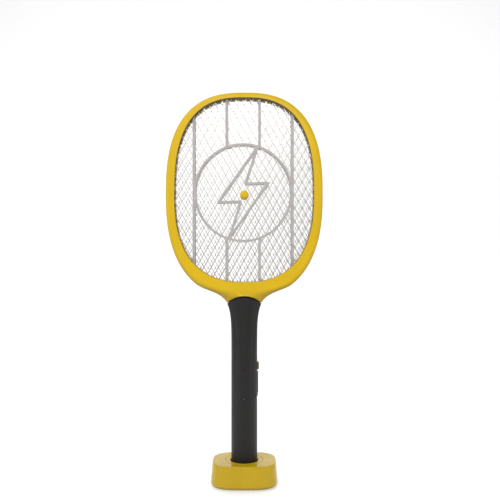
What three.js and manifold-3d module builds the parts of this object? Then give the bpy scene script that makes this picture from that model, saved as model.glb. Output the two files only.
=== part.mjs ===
// Electric fly swatter standing in its charging base. Millimetres, +Z up.
// Origin: the middle of the base at floor level. +X is the switch side, -Y is the front.
import * as THREE from "three";
import { mergeVertices } from "three/addons/utils/BufferGeometryUtils.js";
import Module from "manifold-3d";

// ---------------------------------------------------------------- driving dimensions

const FIT = 0.3; // clearance between pieces that touch or seat on each other
const SLIDE = 0.35; // clearance round a piece that slides in another
const GROOVE = 0.8; // open seam between the handle's domed top and the neck

const base = {
  height: 31.1, // floor to top face
  topHalfWidth: 42.0,
  bottomHalfWidth: 44.5,
  topHalfDepth: 36.0,
  bottomHalfDepth: 38.0,
  power: 3.3, // squareness of the footprint: 2 is an ellipse
  footHeight: 1.0,
  footRadius: 5.0,
  bottomRound: 4.5,
  topRound: 1.6,
  wall: 2.4,
  plateThickness: 2.0,
  plateGap: 1.2, // under the charging board
  boardThickness: 1.2,
  boardHalfWidth: 11.0,
  boardFront: -6.0,
  boardRearGap: 6.0, // to the inside of the rear wall
  weightHeight: 12.0,
  weightHalfDepth: 15.0,
  weightGap: 2.0, // to the dock's sleeve
  screwSpreadX: 16.0,
  screwSpreadY: 24.0,
  screwHeadDepth: 2.0,
  shellPostRadius: 3.4,
  platePostRadius: 4.0,
  postRise: 2.2, // height of the plate's posts above the plate
  footSpreadX: 26.0,
  footSpreadY: 19.5,
};

const dock = {
  depth: 21.9, // how far the handle stands in the base
  collarRadius: 24.6,
  collarThickness: 1.8,
  sleeveWall: 1.8,
  floorThickness: 1.6,
  gap: 0.75, // round the handle
  pinSpread: 7.0, // contact pins, each side of the middle
  pinRadius: 1.3,
  pinBarrelRadius: 2.1,
  pinTravel: 1.0,
  mouthBevel: 0.8,
};

const inlet = {
  width: 9.0,
  height: 3.4,
  depth: 7.2,
  wall: 0.5,
  recess: 1.2, // behind the edge of the base
  bladeHalfWidth: 3.2,
  bladeThickness: 0.7,
};

const handle = {
  length: 229.3, // bottom to the shoulders of the neck
  radius: 17.3,
  shoulderHalfWidth: 22.5,
  shoulderHalfDepth: 11.3,
  crownRise: 8.0, // height of the domed top above the shoulders
  flarePower: 7.0, // how late the width flares
  flareStart: 140.0, // height where the section starts to change
  wall: 2.2,
  capHeight: 4.0,
  capEdge: 1.2,
  capSpigot: 8.0,
  capSpigotWall: 2.0,
  frontPostRadius: 3.0,
  rearPostRadius: 3.6,
};

const contact = { radius: 3.0, stemRadius: 1.0, thickness: 0.5, stemRise: 1.5 };

const neck = {
  rise: 144.5, // shoulders to the centre of the head
  softEdge: 18.5, // height above the shoulders where the front face starts to slope back
  slope: 0.09, // how fast it slopes
  joinAngle: 150.8, // where the head's outline turns into the neck, degrees from the top
  upperPull: 17.1,
  lowerPull: 18.9,
  lowerLean: 0.607,
  tongueLength: 20.0,
  tongueWall: 2.0,
};

const head = {
  halfWidth: 103.9,
  topReach: 135.3,
  bottomReach: 137.0,
  topPower: 2.6,
  bottomPower: 2.45,
  sideBand: 11.9, // width of the frame round the opening
  topBand: 7.8,
  bottomBand: 21.3,
  openingTopPower: 2.65,
  openingBottomPower: 2.5,
  halfDepth: 13.0,
  edgeRound: 5.0,
  wall: 2.2,
  lipWall: 2.0,
  lipSoftening: 0.8,
  postRadius: 2.9,
};

const grid = {
  thickness: 1.2,
  spacing: 5.4, // between the middle planes of neighbouring grids
  rim: 3.6, // width of the solid rim behind the frame's lip
  cellWidth: 24.2,
  cellHeight: 43.5,
  strand: 1.8,
  ribWidth: 3.3,
  ribHeight: 0.9, // above the guard's face
  ribSpacing: 43.5,
  ribCount: 4,
  ringRadius: 64.0,
  ribShift: -1.4, // centre of the ribs from the centre of the stud, across
  ribRise: 3.0, // and upwards
  hubRadius: 7.0,
  tabWidth: 5.0,
  tabLength: 4.5,
};

const stud = { capRadius: 5.8, capHeight: 3.6, pinRadius: 2.0, pinGrip: 2.0, bushRadius: 3.6 };

const surround = { bottom: 104.5, top: 158.5, halfWidth: 9.0, stand: 0.9, thickness: 2.6 };

const pressButton = { bottom: 111.0, height: 28.0, halfWidth: 5.4, stand: 1.7, travel: 1.2, flange: 1.6 };

const slideKnob = {
  bottom: 142.3,
  height: 9.8,
  halfWidth: 4.2,
  stand: 2.7,
  travel: 4.0,
  neckHalfWidth: 2.0,
  neckHeight: 3.0,
};

const switchBody = { depth: 7.0, front: 3.4, pressHalfHeight: 3.5, slideReach: 4.5, slotDepth: 2.0 };
const plunger = { radius: 1.4, tipRadius: 1.0, tipHeight: 0.4, length: 3.2 };
const knobTail = 1.2; // how far the knob's tail reaches into the slide switch

const lamp = { radius: 1.5, flangeRadius: 2.1, flangeThickness: 1.0, upper: 143.8, lower: 104.8 };

const cell = { radius: 9.1, length: 65.0, bottom: 14.0, terminalRadius: 3.0, terminalRise: 1.2 };
const cradle = { wall: 1.4, endWall: 1.5 };

const board = { width: 22.0, length: 102.0, thickness: 1.6, bottom: 92.0, back: 4.2 };

const transformer = {
  x: -2.0,
  height: 163.0,
  coreHalfWidth: 7.0,
  coreDepth: 9.0,
  coreHalfHeight: 5.0,
  windingRadius: 4.0,
  windingHalfHeight: 7.5,
};
const capacitor = { height: 183.0, halfWidth: 6.0, depth: 7.0, halfHeight: 5.5, endRadius: 3.4 };
const diode = { x: -7.5, height: 140.0, radius: 1.4, length: 5.0 };

const leads = {
  spread: 6.0,
  radius: 0.9,
  passDepth: 5.4, // of the outer leads where they leave the tongue, from the middle plane
  startX: { front: -6.0, live: 5.0, rear: 8.0 },
};

const headScrew = {
  headRadius: 2.0,
  headHeight: 1.5,
  shankRadius: 0.9,
  length: 11.5,
  inset: 4.8, // from the head's outline
  seatDepth: 3.4, // under the rear face
  angles: [60, 99, 139], // degrees from the top
};
const handleScrew = {
  headRadius: 2.2,
  headHeight: 1.6,
  shankRadius: 1.0,
  length: 11.0,
  seat: 8.5, // behind the middle plane
  heights: [88.0, 201.0],
};
const baseScrew = { headRadius: 2.4, headHeight: 1.5, shankRadius: 1.1, length: 9.0 };

// ---------------------------------------------------------------- places worked out from them

const SEAT_Z = base.height - dock.depth; // underside of the handle
const SHOULDER_Z = SEAT_Z + handle.length;
const CROWN_Z = SHOULDER_Z + handle.crownRise;
const HEAD_Z = SHOULDER_Z + neck.rise;
const RIB_Z = HEAD_Z + grid.ribRise;
const ARCH_RADIUS =
  (handle.shoulderHalfWidth ** 2 + handle.crownRise ** 2) / (2 * handle.crownRise);
const ARCH_Z = CROWN_Z - ARCH_RADIUS;
const LIP_END = grid.spacing + grid.thickness / 2 + FIT; // end of the frame's lip, from the middle plane
const SCREW_SEAT = head.halfDepth - headScrew.seatDepth; // where the screw heads sit in the rear frame
const HANDLE_BORE = handle.radius - handle.wall;
const CONTACT_RECESS = dock.pinTravel + FIT; // room for the pins under the contacts
const BUTTON_BACK = handle.radius + surround.stand - surround.thickness - FIT - pressButton.flange;
const BUTTON_CORNER = Math.sqrt(BUTTON_BACK ** 2 - switchBody.front ** 2); // its back beside the switch
const SWITCH_FACE = BUTTON_CORNER - pressButton.travel - FIT;
const BOARD_FACE = board.back - board.thickness;
const PLUNGER_END = BUTTON_BACK - FIT - plunger.length; // inner end of the plunger, when let go
const SLEEVE_INNER = handle.radius + dock.gap;
const SLEEVE_OUTER = SLEEVE_INNER + dock.sleeveWall;
const PLATE_TOP = base.footHeight + base.plateThickness;
const BASE_POST_BOTTOM = PLATE_TOP + base.postRise;
const CHARGER_BOTTOM = PLATE_TOP + base.plateGap;
const CHARGER_TOP = CHARGER_BOTTOM + base.boardThickness;
const INLET_Z = CHARGER_TOP + FIT + inlet.height / 2;
const FAR = 400; // reaches past the whole object

const COLOURS = {
  yellow: 0xe0b62a,
  black: 0x2d2b2a,
  grid: 0xb2aead,
  steel: 0xc4c4c6,
  brass: 0xc9a44a,
  white: 0xe6e4de,
  green: 0x2d7a3e,
  red: 0xc03028,
  rubber: 0x222222,
  blue: 0x2a6fb0,
};

// ---------------------------------------------------------------- solids and meshes

const wasm = await Module();
wasm.setup();

// A solid from corner points and triangles, turned so that its faces point out.
function solidFrom(points, triangles) {
  const geometry = new THREE.BufferGeometry();
  geometry.setAttribute("position", new THREE.Float32BufferAttribute(points.flat(), 3));
  geometry.setIndex(triangles.flat());
  return solidOf(geometry);
}

// A solid from a closed three.js geometry.
function solidOf(geometry) {
  const bare = geometry.clone();
  bare.deleteAttribute("normal");
  bare.deleteAttribute("uv");
  const merged = mergeVertices(bare, 1e-4);
  const corners = merged.attributes.position;
  const index = Uint32Array.from(merged.index.array);
  if (signedVolume(corners, index) < 0) {
    for (let i = 0; i < index.length; i += 3) {
      [index[i + 1], index[i + 2]] = [index[i + 2], index[i + 1]];
    }
  }
  const mesh = new wasm.Mesh({ numProp: 3, vertProperties: corners.array, triVerts: index });
  return new wasm.Manifold(mesh);
}

function signedVolume(corners, index) {
  const [a, b, c] = [new THREE.Vector3(), new THREE.Vector3(), new THREE.Vector3()];
  let sum = 0;
  for (let i = 0; i < index.length; i += 3) {
    a.fromBufferAttribute(corners, index[i]);
    b.fromBufferAttribute(corners, index[i + 1]);
    c.fromBufferAttribute(corners, index[i + 2]);
    sum += a.dot(b.cross(c));
  }
  return sum;
}

// Closed surface through loops of points with equal counts; the last loop joins the first.
function ringSolid(loops) {
  return skin(loops, true);
}

// Closed surface through a stack of loops, with a flat fan at each end.
function stackSolid(loops) {
  return skin(loops, false);
}

function skin(loops, closed) {
  const count = loops[0].length;
  const points = loops.flat();
  const triangles = [];
  const rows = closed ? loops.length : loops.length - 1;
  for (let row = 0; row < rows; row++) {
    const next = (row + 1) % loops.length;
    for (let i = 0; i < count; i++) {
      const j = (i + 1) % count;
      const [a, b] = [row * count + i, row * count + j];
      const [c, d] = [next * count + j, next * count + i];
      triangles.push([a, b, c], [a, c, d]);
    }
  }
  if (!closed) {
    for (const [row, flip] of [[0, true], [loops.length - 1, false]]) {
      const middle = points.length;
      points.push(average(loops[row]));
      for (let i = 0; i < count; i++) {
        const [a, b] = [row * count + i, row * count + ((i + 1) % count)];
        triangles.push(flip ? [b, a, middle] : [a, b, middle]);
      }
    }
  }
  return solidFrom(points, triangles);
}

function average(points) {
  return [0, 1, 2].map((k) => points.reduce((sum, p) => sum + p[k], 0) / points.length);
}

// Box between two corners.
function boxSolid(low, high) {
  const size = high.map((v, k) => v - low[k]);
  const geometry = new THREE.BoxGeometry(...size);
  geometry.translate(...low.map((v, k) => v + size[k] / 2));
  return solidOf(geometry);
}

// Round bar from a point along an axis.
function rodSolid(from, axis, length, radius, sides = 12) {
  const geometry = new THREE.CylinderGeometry(radius, radius, length, sides);
  geometry.translate(0, length / 2, 0);
  return solidOf(placed(geometry, from, axis));
}

// Body turned about an axis: profile holds [radius, distance along the axis], both ends at radius 0,
// or a closed profile that doesn't touch the axis.
function turnedSolid(profile, from, axis, sides = 24) {
  const outline = profile.map(([r, h]) => new THREE.Vector2(r, h));
  if (profile[0][0] > 0) {
    outline.push(outline[0].clone());
  }
  return solidOf(placed(new THREE.LatheGeometry(outline, sides), from, axis));
}

function placed(geometry, from, axis) {
  const turn = new THREE.Quaternion().setFromUnitVectors(
    new THREE.Vector3(0, 1, 0),
    new THREE.Vector3(...axis),
  );
  geometry.applyQuaternion(turn);
  geometry.translate(...from);
  return geometry;
}

// Flat plate of an outline in the XZ plane (with optional holes), from y = front to y = back.
function plateSolid(outline, front, back, holes = []) {
  const rim = outline.map(([x, z]) => new THREE.Vector2(x, z));
  const shape = new THREE.Shape(THREE.ShapeUtils.isClockWise(rim) ? rim.reverse() : rim);
  for (const hole of holes) {
    shape.holes.push(new THREE.Path(hole.map(([x, z]) => new THREE.Vector2(x, z))));
  }
  const geometry = new THREE.ExtrudeGeometry(shape, { depth: back - front, bevelEnabled: false });
  geometry.rotateX(Math.PI / 2);
  geometry.translate(0, back, 0);
  return solidOf(geometry);
}

const AXIS = { x: [1, 0, 0], back: [0, 1, 0], front: [0, -1, 0], up: [0, 0, 1], down: [0, 0, -1] };

const FINISH = {
  gloss: { roughness: 0.3, metalness: 0 },
  satin: { roughness: 0.5, metalness: 0 },
  metal: { roughness: 0.35, metalness: 1 },
  rubber: { roughness: 0.8, metalness: 0 },
};

const model = new THREE.Group();

// Adds one named piece to the model.
function piece(name, solid, colour, finish) {
  const mesh = solid.getMesh();
  const geometry = new THREE.BufferGeometry();
  geometry.setAttribute("position", new THREE.BufferAttribute(mesh.vertProperties, 3));
  geometry.setIndex(new THREE.BufferAttribute(mesh.triVerts, 1));
  geometry.computeVertexNormals();
  const material = new THREE.MeshStandardMaterial({ color: colour, ...finish });
  const added = new THREE.Mesh(geometry, material);
  added.name = name;
  model.add(added);
}

// ---------------------------------------------------------------- outlines

const steps = (count) => Array.from({ length: count }, (_, i) => i / count);
const mix = (a, b, t) => a + (b - a) * t;
const smooth = (t) => t * t * (3 - 2 * t);
const clamp = (t) => Math.min(1, Math.max(0, t));
const radians = (degrees) => (degrees * Math.PI) / 180;

// Point of an oval with squared-off sides, in the direction of an angle from the top.
function ovalPoint(angle, halfWidth, topReach, bottomReach, topPower, bottomPower) {
  const [s, c] = [Math.sin(angle), Math.cos(angle)];
  const power = c > 0 ? topPower : bottomPower;
  const reach = c > 0 ? topReach : bottomReach;
  const sum = (Math.abs(s) / halfWidth) ** power + (Math.abs(c) / reach) ** power;
  const r = sum ** (-1 / power);
  return [r * s, HEAD_Z + r * c];
}

// Outer outline of the head, drawn in by an inset.
function headPoint(angle, inset = 0) {
  return ovalPoint(
    angle,
    head.halfWidth - inset,
    head.topReach - inset,
    head.bottomReach - inset,
    head.topPower,
    head.bottomPower,
  );
}

// Outline of the opening in the head, grown by an outset.
function openingPoint(angle, outset = 0) {
  return ovalPoint(
    angle,
    head.halfWidth - head.sideBand + outset,
    head.topReach - head.topBand + outset,
    head.bottomReach - head.bottomBand + outset,
    head.openingTopPower,
    head.openingBottomPower,
  );
}

const archHeight = (x, raise) => ARCH_Z + Math.sqrt(Math.max(0, (ARCH_RADIUS + raise) ** 2 - x * x));

const SIDE_STEPS = 11;
const NECK_STEPS = 5;
const ARCH_STEPS = 2;
const JOIN = radians(neck.joinAngle);

// Curve from the head's outline down to the neck's shoulder.
function neckCurve(raise) {
  const start = new THREE.Vector2(...headPoint(JOIN));
  const before = new THREE.Vector2(...headPoint(JOIN - 0.01));
  const run = start.clone().sub(before).normalize();
  const end = new THREE.Vector2(handle.shoulderHalfWidth, archHeight(handle.shoulderHalfWidth, raise));
  const lean = new THREE.Vector2(neck.lowerLean, 1).normalize();
  return new THREE.CubicBezierCurve(
    start,
    start.clone().addScaledVector(run, neck.upperPull),
    end.clone().addScaledVector(lean, neck.lowerPull),
    end,
  );
}

// Right half of the frame's outline, from the top to the middle of the arch. Each point has its place,
// the outward direction, and how far it is into the neck (0 on the head, 1 at the shoulder).
function halfOutline(raise) {
  const points = [];
  for (const t of steps(SIDE_STEPS)) {
    const angle = JOIN * t;
    const [x, z] = headPoint(angle);
    const [px, pz] = headPoint(angle - 0.01);
    const [qx, qz] = headPoint(angle + 0.01);
    const length = Math.hypot(qx - px, qz - pz);
    points.push({ x, z, nx: (pz - qz) / length, nz: (qx - px) / length, into: 0 });
  }
  const curve = neckCurve(raise);
  for (const t of steps(NECK_STEPS)) {
    const p = curve.getPoint(t);
    const along = curve.getTangent(t);
    points.push({ x: p.x, z: p.y, nx: -along.y, nz: along.x, into: smooth(t) });
  }
  return points;
}

// Full loop of the frame's outer surface. "round" runs from 0 at the side to 1 where the face is flat.
function frameLoop(side, round, wall) {
  const raise = GROOVE + wall;
  const half = halfOutline(raise).map((p) => {
    const inset = wall + (edgeWidth(p.into) - wall) * round;
    return [p.x - p.nx * inset, p.z - p.nz * inset, p.into];
  });
  const cornerX = handle.shoulderHalfWidth - wall - (edgeWidth(1) - wall) * round;
  for (let i = 0; i <= ARCH_STEPS; i++) {
    const x = cornerX * (1 - i / ARCH_STEPS);
    half.push([x, archHeight(x, raise), 1]);
  }
  return wholeLoop(half).map(([x, z, into]) => {
    const depth = faceDepth(z) - wall;
    const drop = (edgeDepth(into, depth + wall) - wall) * (1 - Math.sqrt(1 - (1 - round) ** 2));
    return [x, side * Math.max(FIT / 2, depth - drop), z];
  });
}

// Mirrors the right half of a loop to the left; the first and last points lie on the middle line.
function wholeLoop(half) {
  const left = half.slice(1, -1).reverse();
  return [...half, ...left.map(([x, z, into]) => [-x, z, into])];
}

const edgeWidth = (into) => mix(head.edgeRound, handle.shoulderHalfWidth - 0.4, into);
const edgeDepth = (into, depth) => mix(head.edgeRound, depth - 1.0, into);

// Depth of the front face behind or before the middle plane; it slopes back below the soft edge.
function faceDepth(z) {
  const below = Math.max(0, SHOULDER_Z + neck.softEdge - z);
  return head.halfDepth - below * neck.slope;
}

// Angles at which the opening is drawn, one for each point of frameLoop.
function openingAngles() {
  const rest = NECK_STEPS + ARCH_STEPS;
  const upper = steps(SIDE_STEPS).map((t) => JOIN * t);
  const lower = steps(rest).map((t) => mix(JOIN, Math.PI, t));
  const half = [...upper, ...lower, Math.PI];
  return [...half, ...half.slice(1, -1).reverse().map((angle) => -angle)];
}

// Outline of the opening as [x, z] pairs.
function openingOutline(outset) {
  return openingAngles().map((angle) => openingPoint(angle, outset));
}

// Loop round the opening, with the same count as frameLoop.
function openingLoop(outset, depthAt) {
  return openingOutline(outset).map(([x, z]) => [x, depthAt(z), z]);
}

// ---------------------------------------------------------------- head

// One half shell of the head frame with its neck: side -1 is the front, +1 the rear.
function frameShell(side) {
  const flat = (z) => side * faceDepth(z);
  const inner = (z) => side * (faceDepth(z) - head.wall);
  const outerCurve = [0, 0.35, 1].map((round) => frameLoop(side, round, 0));
  const innerCurve = [1, 0].map((round) => frameLoop(side, round, head.wall));
  const parting = (loop) => loop.map(([x, , z]) => [x, (side * FIT) / 2, z]);
  const softening = head.lipSoftening;
  return ringSolid([
    parting(outerCurve[0]),
    ...outerCurve,
    openingLoop(softening, flat),
    openingLoop(0, (z) => flat(z) - side * softening),
    openingLoop(0, () => side * LIP_END),
    openingLoop(head.lipWall, () => side * LIP_END),
    openingLoop(head.lipWall, inner),
    ...innerCurve,
    parting(innerCurve[innerCurve.length - 1]),
  ]);
}

// Loop round the handle at a height, drawn in by an inset.
function handleOval(height, inset, count = 24) {
  const [halfWidth, halfDepth] = handleSize(height);
  return steps(count).map((t) => [
    (halfWidth - inset) * Math.cos(2 * Math.PI * t),
    (halfDepth - inset) * Math.sin(2 * Math.PI * t),
    SEAT_Z + height,
  ]);
}

// Half-width and half-depth of the handle: it widens and thins towards the neck.
function handleSize(height) {
  const t = clamp((height - handle.flareStart) / (handle.length - handle.flareStart));
  const beyond = Math.max(0, height - handle.length);
  const widening = (handle.shoulderHalfWidth - handle.radius) * t ** handle.flarePower;
  const thinning = (handle.radius - handle.shoulderHalfDepth) * smooth(t);
  return [handle.radius + widening + beyond * 0.5, handle.radius - thinning];
}

const HANDLE_ROWS = 8;

// Solid bar of the handle's section, drawn in by an inset, cut off at two heights.
function handleBar(from, to, inset) {
  const reach = handle.length + 2 * handle.crownRise;
  const loops = [];
  for (let i = 0; i <= HANDLE_ROWS; i++) {
    const t = 1 - (1 - i / HANDLE_ROWS) ** 1.6; // closer together towards the neck
    loops.push(handleOval(reach * t, inset));
  }
  const slab = boxSolid([-FAR, -FAR, SEAT_Z + from], [FAR, FAR, SEAT_Z + to]);
  return stackSolid(loops).intersect(slab);
}

// Box that keeps one side of the middle plane.
function halfSpace(side) {
  const near = (side * FIT) / 2;
  const [front, back] = side < 0 ? [-FAR, near] : [near, FAR];
  return boxSolid([-FAR, front, -FAR], [FAR, back, 2 * FAR]);
}

// Tongue that reaches down from the neck into the handle, as [outer, bore].
function tongue(side) {
  const from = handle.length - neck.tongueLength;
  const to = handle.length + handle.crownRise + head.wall + GROOVE + 2 * FIT;
  const outset = handle.wall + FIT;
  const outer = handleBar(from, to, outset).intersect(halfSpace(side));
  const bore = handleBar(from - 1, to + 1, outset + neck.tongueWall);
  return [outer, bore];
}

const screwPlaces = headScrew.angles.flatMap((degrees) => {
  const [x, z] = headPoint(radians(degrees), headScrew.inset);
  return [[x, z], [-x, z]];
});

function frontFrame() {
  const [outer, bore] = tongue(-1);
  let frame = frameShell(-1).add(outer).subtract(bore);
  for (const [x, z] of screwPlaces) {
    const post = head.halfDepth - head.wall / 2;
    const hole = post - head.wall;
    frame = frame.add(rodSolid([x, -FIT / 2, z], AXIS.front, post, head.postRadius, 8));
    frame = frame.subtract(rodSolid([x, 1, z], AXIS.front, hole, headScrew.shankRadius + FIT, 8));
  }
  return frame;
}

function rearFrame() {
  const [outer, bore] = tongue(1);
  let frame = frameShell(1).add(outer).subtract(bore);
  for (const [x, z] of screwPlaces) {
    const post = head.halfDepth - head.wall / 2;
    const [shankHole, headHole] = [headScrew.shankRadius + FIT, headScrew.headRadius + FIT];
    frame = frame.add(rodSolid([x, FIT / 2, z], AXIS.back, post, head.postRadius, 8));
    frame = frame.subtract(rodSolid([x, -1, z], AXIS.back, 2 * post, shankHole, 8));
    frame = frame.subtract(rodSolid([x, SCREW_SEAT, z], AXIS.back, post, headHole, 10));
  }
  return frame;
}

// Pan-head screw. The head's underside is at "seat" and the shank points along the axis.
function screwSolid(seat, axis, size) {
  const { headRadius, headHeight, shankRadius, length } = size;
  const profile = [
    [0, -headHeight],
    [headRadius * 0.7, -headHeight],
    [headRadius, -headHeight * 0.4],
    [headRadius, 0],
    [shankRadius, 0],
    [shankRadius, length - 1],
    [0, length],
  ];
  return turnedSolid(profile, seat, axis, 8);
}

function headParts() {
  piece("front_frame", frontFrame(), COLOURS.yellow, FINISH.gloss);
  piece("rear_frame", rearFrame(), COLOURS.yellow, FINISH.gloss);
  screwPlaces.forEach(([x, z], i) => {
    const screw = screwSolid([x, SCREW_SEAT + FIT / 2, z], AXIS.front, headScrew);
    piece(`head_screw_${i + 1}`, screw, COLOURS.steel, FINISH.metal);
  });
}

// ---------------------------------------------------------------- grids, spacers and stud

// Diamond cells of a grid, as separate prisms.
function cellSolids(y) {
  const reachX = Math.ceil((2 * head.halfWidth) / grid.cellWidth);
  const reachZ = Math.ceil((head.topReach + head.bottomReach) / grid.cellHeight);
  const [w, h] = [grid.cellWidth / 2, grid.cellHeight / 2];
  const trim = 1 - grid.strand / ((2 * w * h) / Math.hypot(w, h));
  const cells = [];
  for (let i = -reachX; i <= reachX; i++) {
    for (let j = -reachZ; j <= reachZ; j++) {
      if ((i + j) % 2 !== 0) {
        const [x, z] = [i * w, HEAD_Z + j * h];
        const corners = [[x - w * trim, z], [x, z - h * trim], [x + w * trim, z], [x, z + h * trim]];
        cells.push(plateSolid(corners, y - grid.thickness, y + grid.thickness));
      }
    }
  }
  return wasm.Manifold.compose(cells);
}

// Vertical bars, ring and lightning bolt that stiffen a guard, from y = front to y = back.
function ribSolids(front, back) {
  const half = grid.ribWidth / 2;
  const ringOuter = grid.ringRadius + half;
  const ring = plateSolid(circle(ringOuter), front, back, [circle(grid.ringRadius - half)]);
  let ribs = ring;
  for (let i = 0; i < grid.ribCount; i++) {
    const x = grid.ribShift + (i - (grid.ribCount - 1) / 2) * grid.ribSpacing;
    const low = [x - half, front, HEAD_Z - head.bottomReach];
    const bar = boxSolid(low, [x + half, back, HEAD_Z + head.topReach]);
    const inside = plateSolid(circle(grid.ringRadius), front - 1, back + 1);
    ribs = ribs.add(bar.subtract(inside));
  }
  return ribs.add(boltSolid(front, back));
}

// Circle about the centre of the ribs.
function circle(radius, count = 28) {
  return steps(count).map((t) => [
    grid.ribShift + radius * Math.cos(2 * Math.PI * t),
    RIB_Z + radius * Math.sin(2 * Math.PI * t),
  ]);
}

// Lightning bolt: a zigzag outline, the same when turned half a turn about the centre of the ring.
function boltSolid(front, back) {
  const tip = [grid.ringRadius * 0.29, grid.ringRadius * 0.94];
  const elbow = [-grid.ringRadius * 0.52, -grid.ringRadius * 0.2];
  const notch = [-grid.ringRadius * 0.05, -grid.ringRadius * 0.185];
  const corners = [tip, elbow, notch];
  const outline = [...corners, ...corners.map(([x, z]) => [-x, -z])];
  let bolt = null;
  outline.forEach((from, i) => {
    const to = outline[(i + 1) % outline.length];
    const stroke = strokeSolid(from, to, front, back);
    bolt = bolt ? bolt.add(stroke) : stroke;
  });
  return bolt;
}

// Straight rib with pointed ends between two points of the ring's plane.
function strokeSolid([x0, z0], [x1, z1], front, back) {
  const half = grid.ribWidth / 2;
  const length = Math.hypot(x1 - x0, z1 - z0);
  const [ux, uz] = [(x1 - x0) / length, (z1 - z0) / length];
  const at = (x, z, along, across) => [
    grid.ribShift + x + ux * along - uz * across,
    RIB_Z + z + uz * along + ux * across,
  ];
  const corners = [
    at(x0, z0, 0, -half),
    at(x1, z1, 0, -half),
    at(x1, z1, half, 0),
    at(x1, z1, 0, half),
    at(x0, z0, 0, half),
    at(x0, z0, -half, 0),
  ];
  return plateSolid(corners, front, back);
}

// Solder tab at the bottom of a grid, where its lead ends.
function tabSolid(x, y) {
  const top = openingPoint(Math.PI, grid.rim - 0.5)[1];
  const half = grid.tabWidth / 2;
  const t = grid.thickness / 2;
  return boxSolid([x - half, y - t, top - grid.tabLength], [x + half, y + t, top]);
}

// One flat grid: side -1 front guard, 0 live grid, +1 rear guard. Only the guards have ribs.
function gridSolid(side) {
  const y = side * grid.spacing;
  const t = grid.thickness / 2;
  const plate = plateSolid(openingOutline(grid.rim), y - t, y + t);
  const inside = plateSolid(openingOutline(0), y - 2 * t, y + 2 * t);
  let cells = cellSolids(y).intersect(inside);
  const hub = rodSolid([0, y - 3 * t, HEAD_Z], AXIS.back, 6 * t, grid.hubRadius, 16);
  cells = cells.subtract(hub);
  let made = plate;
  if (side !== 0) {
    const front = side < 0 ? y - t - grid.ribHeight : y - t;
    const back = side < 0 ? y + t : y + t + grid.ribHeight;
    const ribs = ribSolids(front, back).intersect(plateSolid(openingOutline(-FIT), front, back));
    cells = cells.subtract(ribs);
    made = plate.subtract(cells).add(ribs);
  } else {
    made = plate.subtract(cells);
  }
  made = made.add(tabSolid(side * leads.spread, y));
  return made.subtract(rodSolid([0, y - 3 * t, HEAD_Z], AXIS.back, 6 * t, stud.pinRadius + FIT, 12));
}

// Insulating ring between the live grid and a guard.
function spacerSolid(side) {
  const gap = grid.thickness / 2 + FIT;
  const [near, far] = [gap, grid.spacing - gap];
  const [front, back] = side < 0 ? [-far, -near] : [near, far];
  return plateSolid(openingOutline(grid.rim), front, back, [openingOutline(0.4)]);
}

// Yellow button on the guard with its pin through the grids; the rear one is a cap on the pin's end.
function studParts() {
  const face = grid.spacing + grid.thickness / 2 + FIT;
  const { capRadius, capHeight, pinRadius, pinGrip, bushRadius } = stud;
  const dome = [
    [0, capHeight],
    [capRadius * 0.6, capHeight * 0.93],
    [capRadius * 0.92, capHeight * 0.62],
    [capRadius, 0],
  ];
  const pin = 2 * face + pinGrip;
  const frontProfile = [...dome, [pinRadius, 0], [pinRadius, -pin], [0, -pin]];
  const front = turnedSolid(frontProfile, [0, -face, HEAD_Z], AXIS.front, 14);
  piece("front_stud", front, COLOURS.yellow, FINISH.gloss);
  const socket = pinGrip + FIT;
  const rearProfile = [...dome, [pinRadius + FIT, 0], [pinRadius + FIT, socket], [0, socket]];
  const rear = turnedSolid(rearProfile, [0, face, HEAD_Z], AXIS.back, 14);
  piece("rear_stud", rear, COLOURS.yellow, FINISH.gloss);
  for (const [side, name] of [[-1, "front_bush"], [1, "rear_bush"]]) {
    const length = grid.spacing - grid.thickness - 2 * FIT;
    const near = grid.thickness / 2 + FIT;
    const inner = pinRadius + FIT;
    const profile = [[inner, 0], [bushRadius, 0], [bushRadius, length], [inner, length]];
    const from = [0, side < 0 ? -near - length : near, HEAD_Z];
    piece(name, turnedSolid(profile, from, AXIS.back, 12), COLOURS.white, FINISH.satin);
  }
}

function gridParts() {
  piece("front_guard_grid", gridSolid(-1), COLOURS.grid, FINISH.satin);
  piece("live_grid", gridSolid(0), COLOURS.grid, FINISH.metal);
  piece("rear_guard_grid", gridSolid(1), COLOURS.grid, FINISH.satin);
  piece("front_spacer", spacerSolid(-1), COLOURS.black, FINISH.satin);
  piece("rear_spacer", spacerSolid(1), COLOURS.black, FINISH.satin);
  studParts();
}

// ---------------------------------------------------------------- handle

// Everything below the arched top of the handle.
function underArch() {
  const cylinder = rodSolid([0, -FAR, ARCH_Z], AXIS.back, 2 * FAR, ARCH_RADIUS, 64);
  return cylinder.add(boxSolid([-FAR, -FAR, 0], [FAR, FAR, ARCH_Z]));
}

// Half shell of the handle: side -1 is the front, +1 the rear.
function handleShell(side) {
  const from = handle.capHeight + FIT;
  const to = handle.length + handle.crownRise + 1;
  const outer = handleBar(from, to, 0);
  const inner = handleBar(from - 1, to + 1, handle.wall);
  const shell = outer.subtract(inner).intersect(halfSpace(side)).intersect(underArch());
  return shell.subtract(switchWindow(FIT));
}

// Space of the switch surround in the handle's side, grown by a clearance.
function switchWindow(clearance) {
  const low = [HANDLE_BORE / 2, -surround.halfWidth - clearance, SEAT_Z + surround.bottom - clearance];
  const high = [2 * handle.radius, surround.halfWidth + clearance, SEAT_Z + surround.top + clearance];
  return boxSolid(low, high);
}

// Upright round shell or bar that follows the handle's side, from a height to a height.
function uprightSolid(radius, from, to, sides = 32) {
  return rodSolid([0, 0, SEAT_Z + from], AXIS.up, to - from, radius, sides);
}

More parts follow.
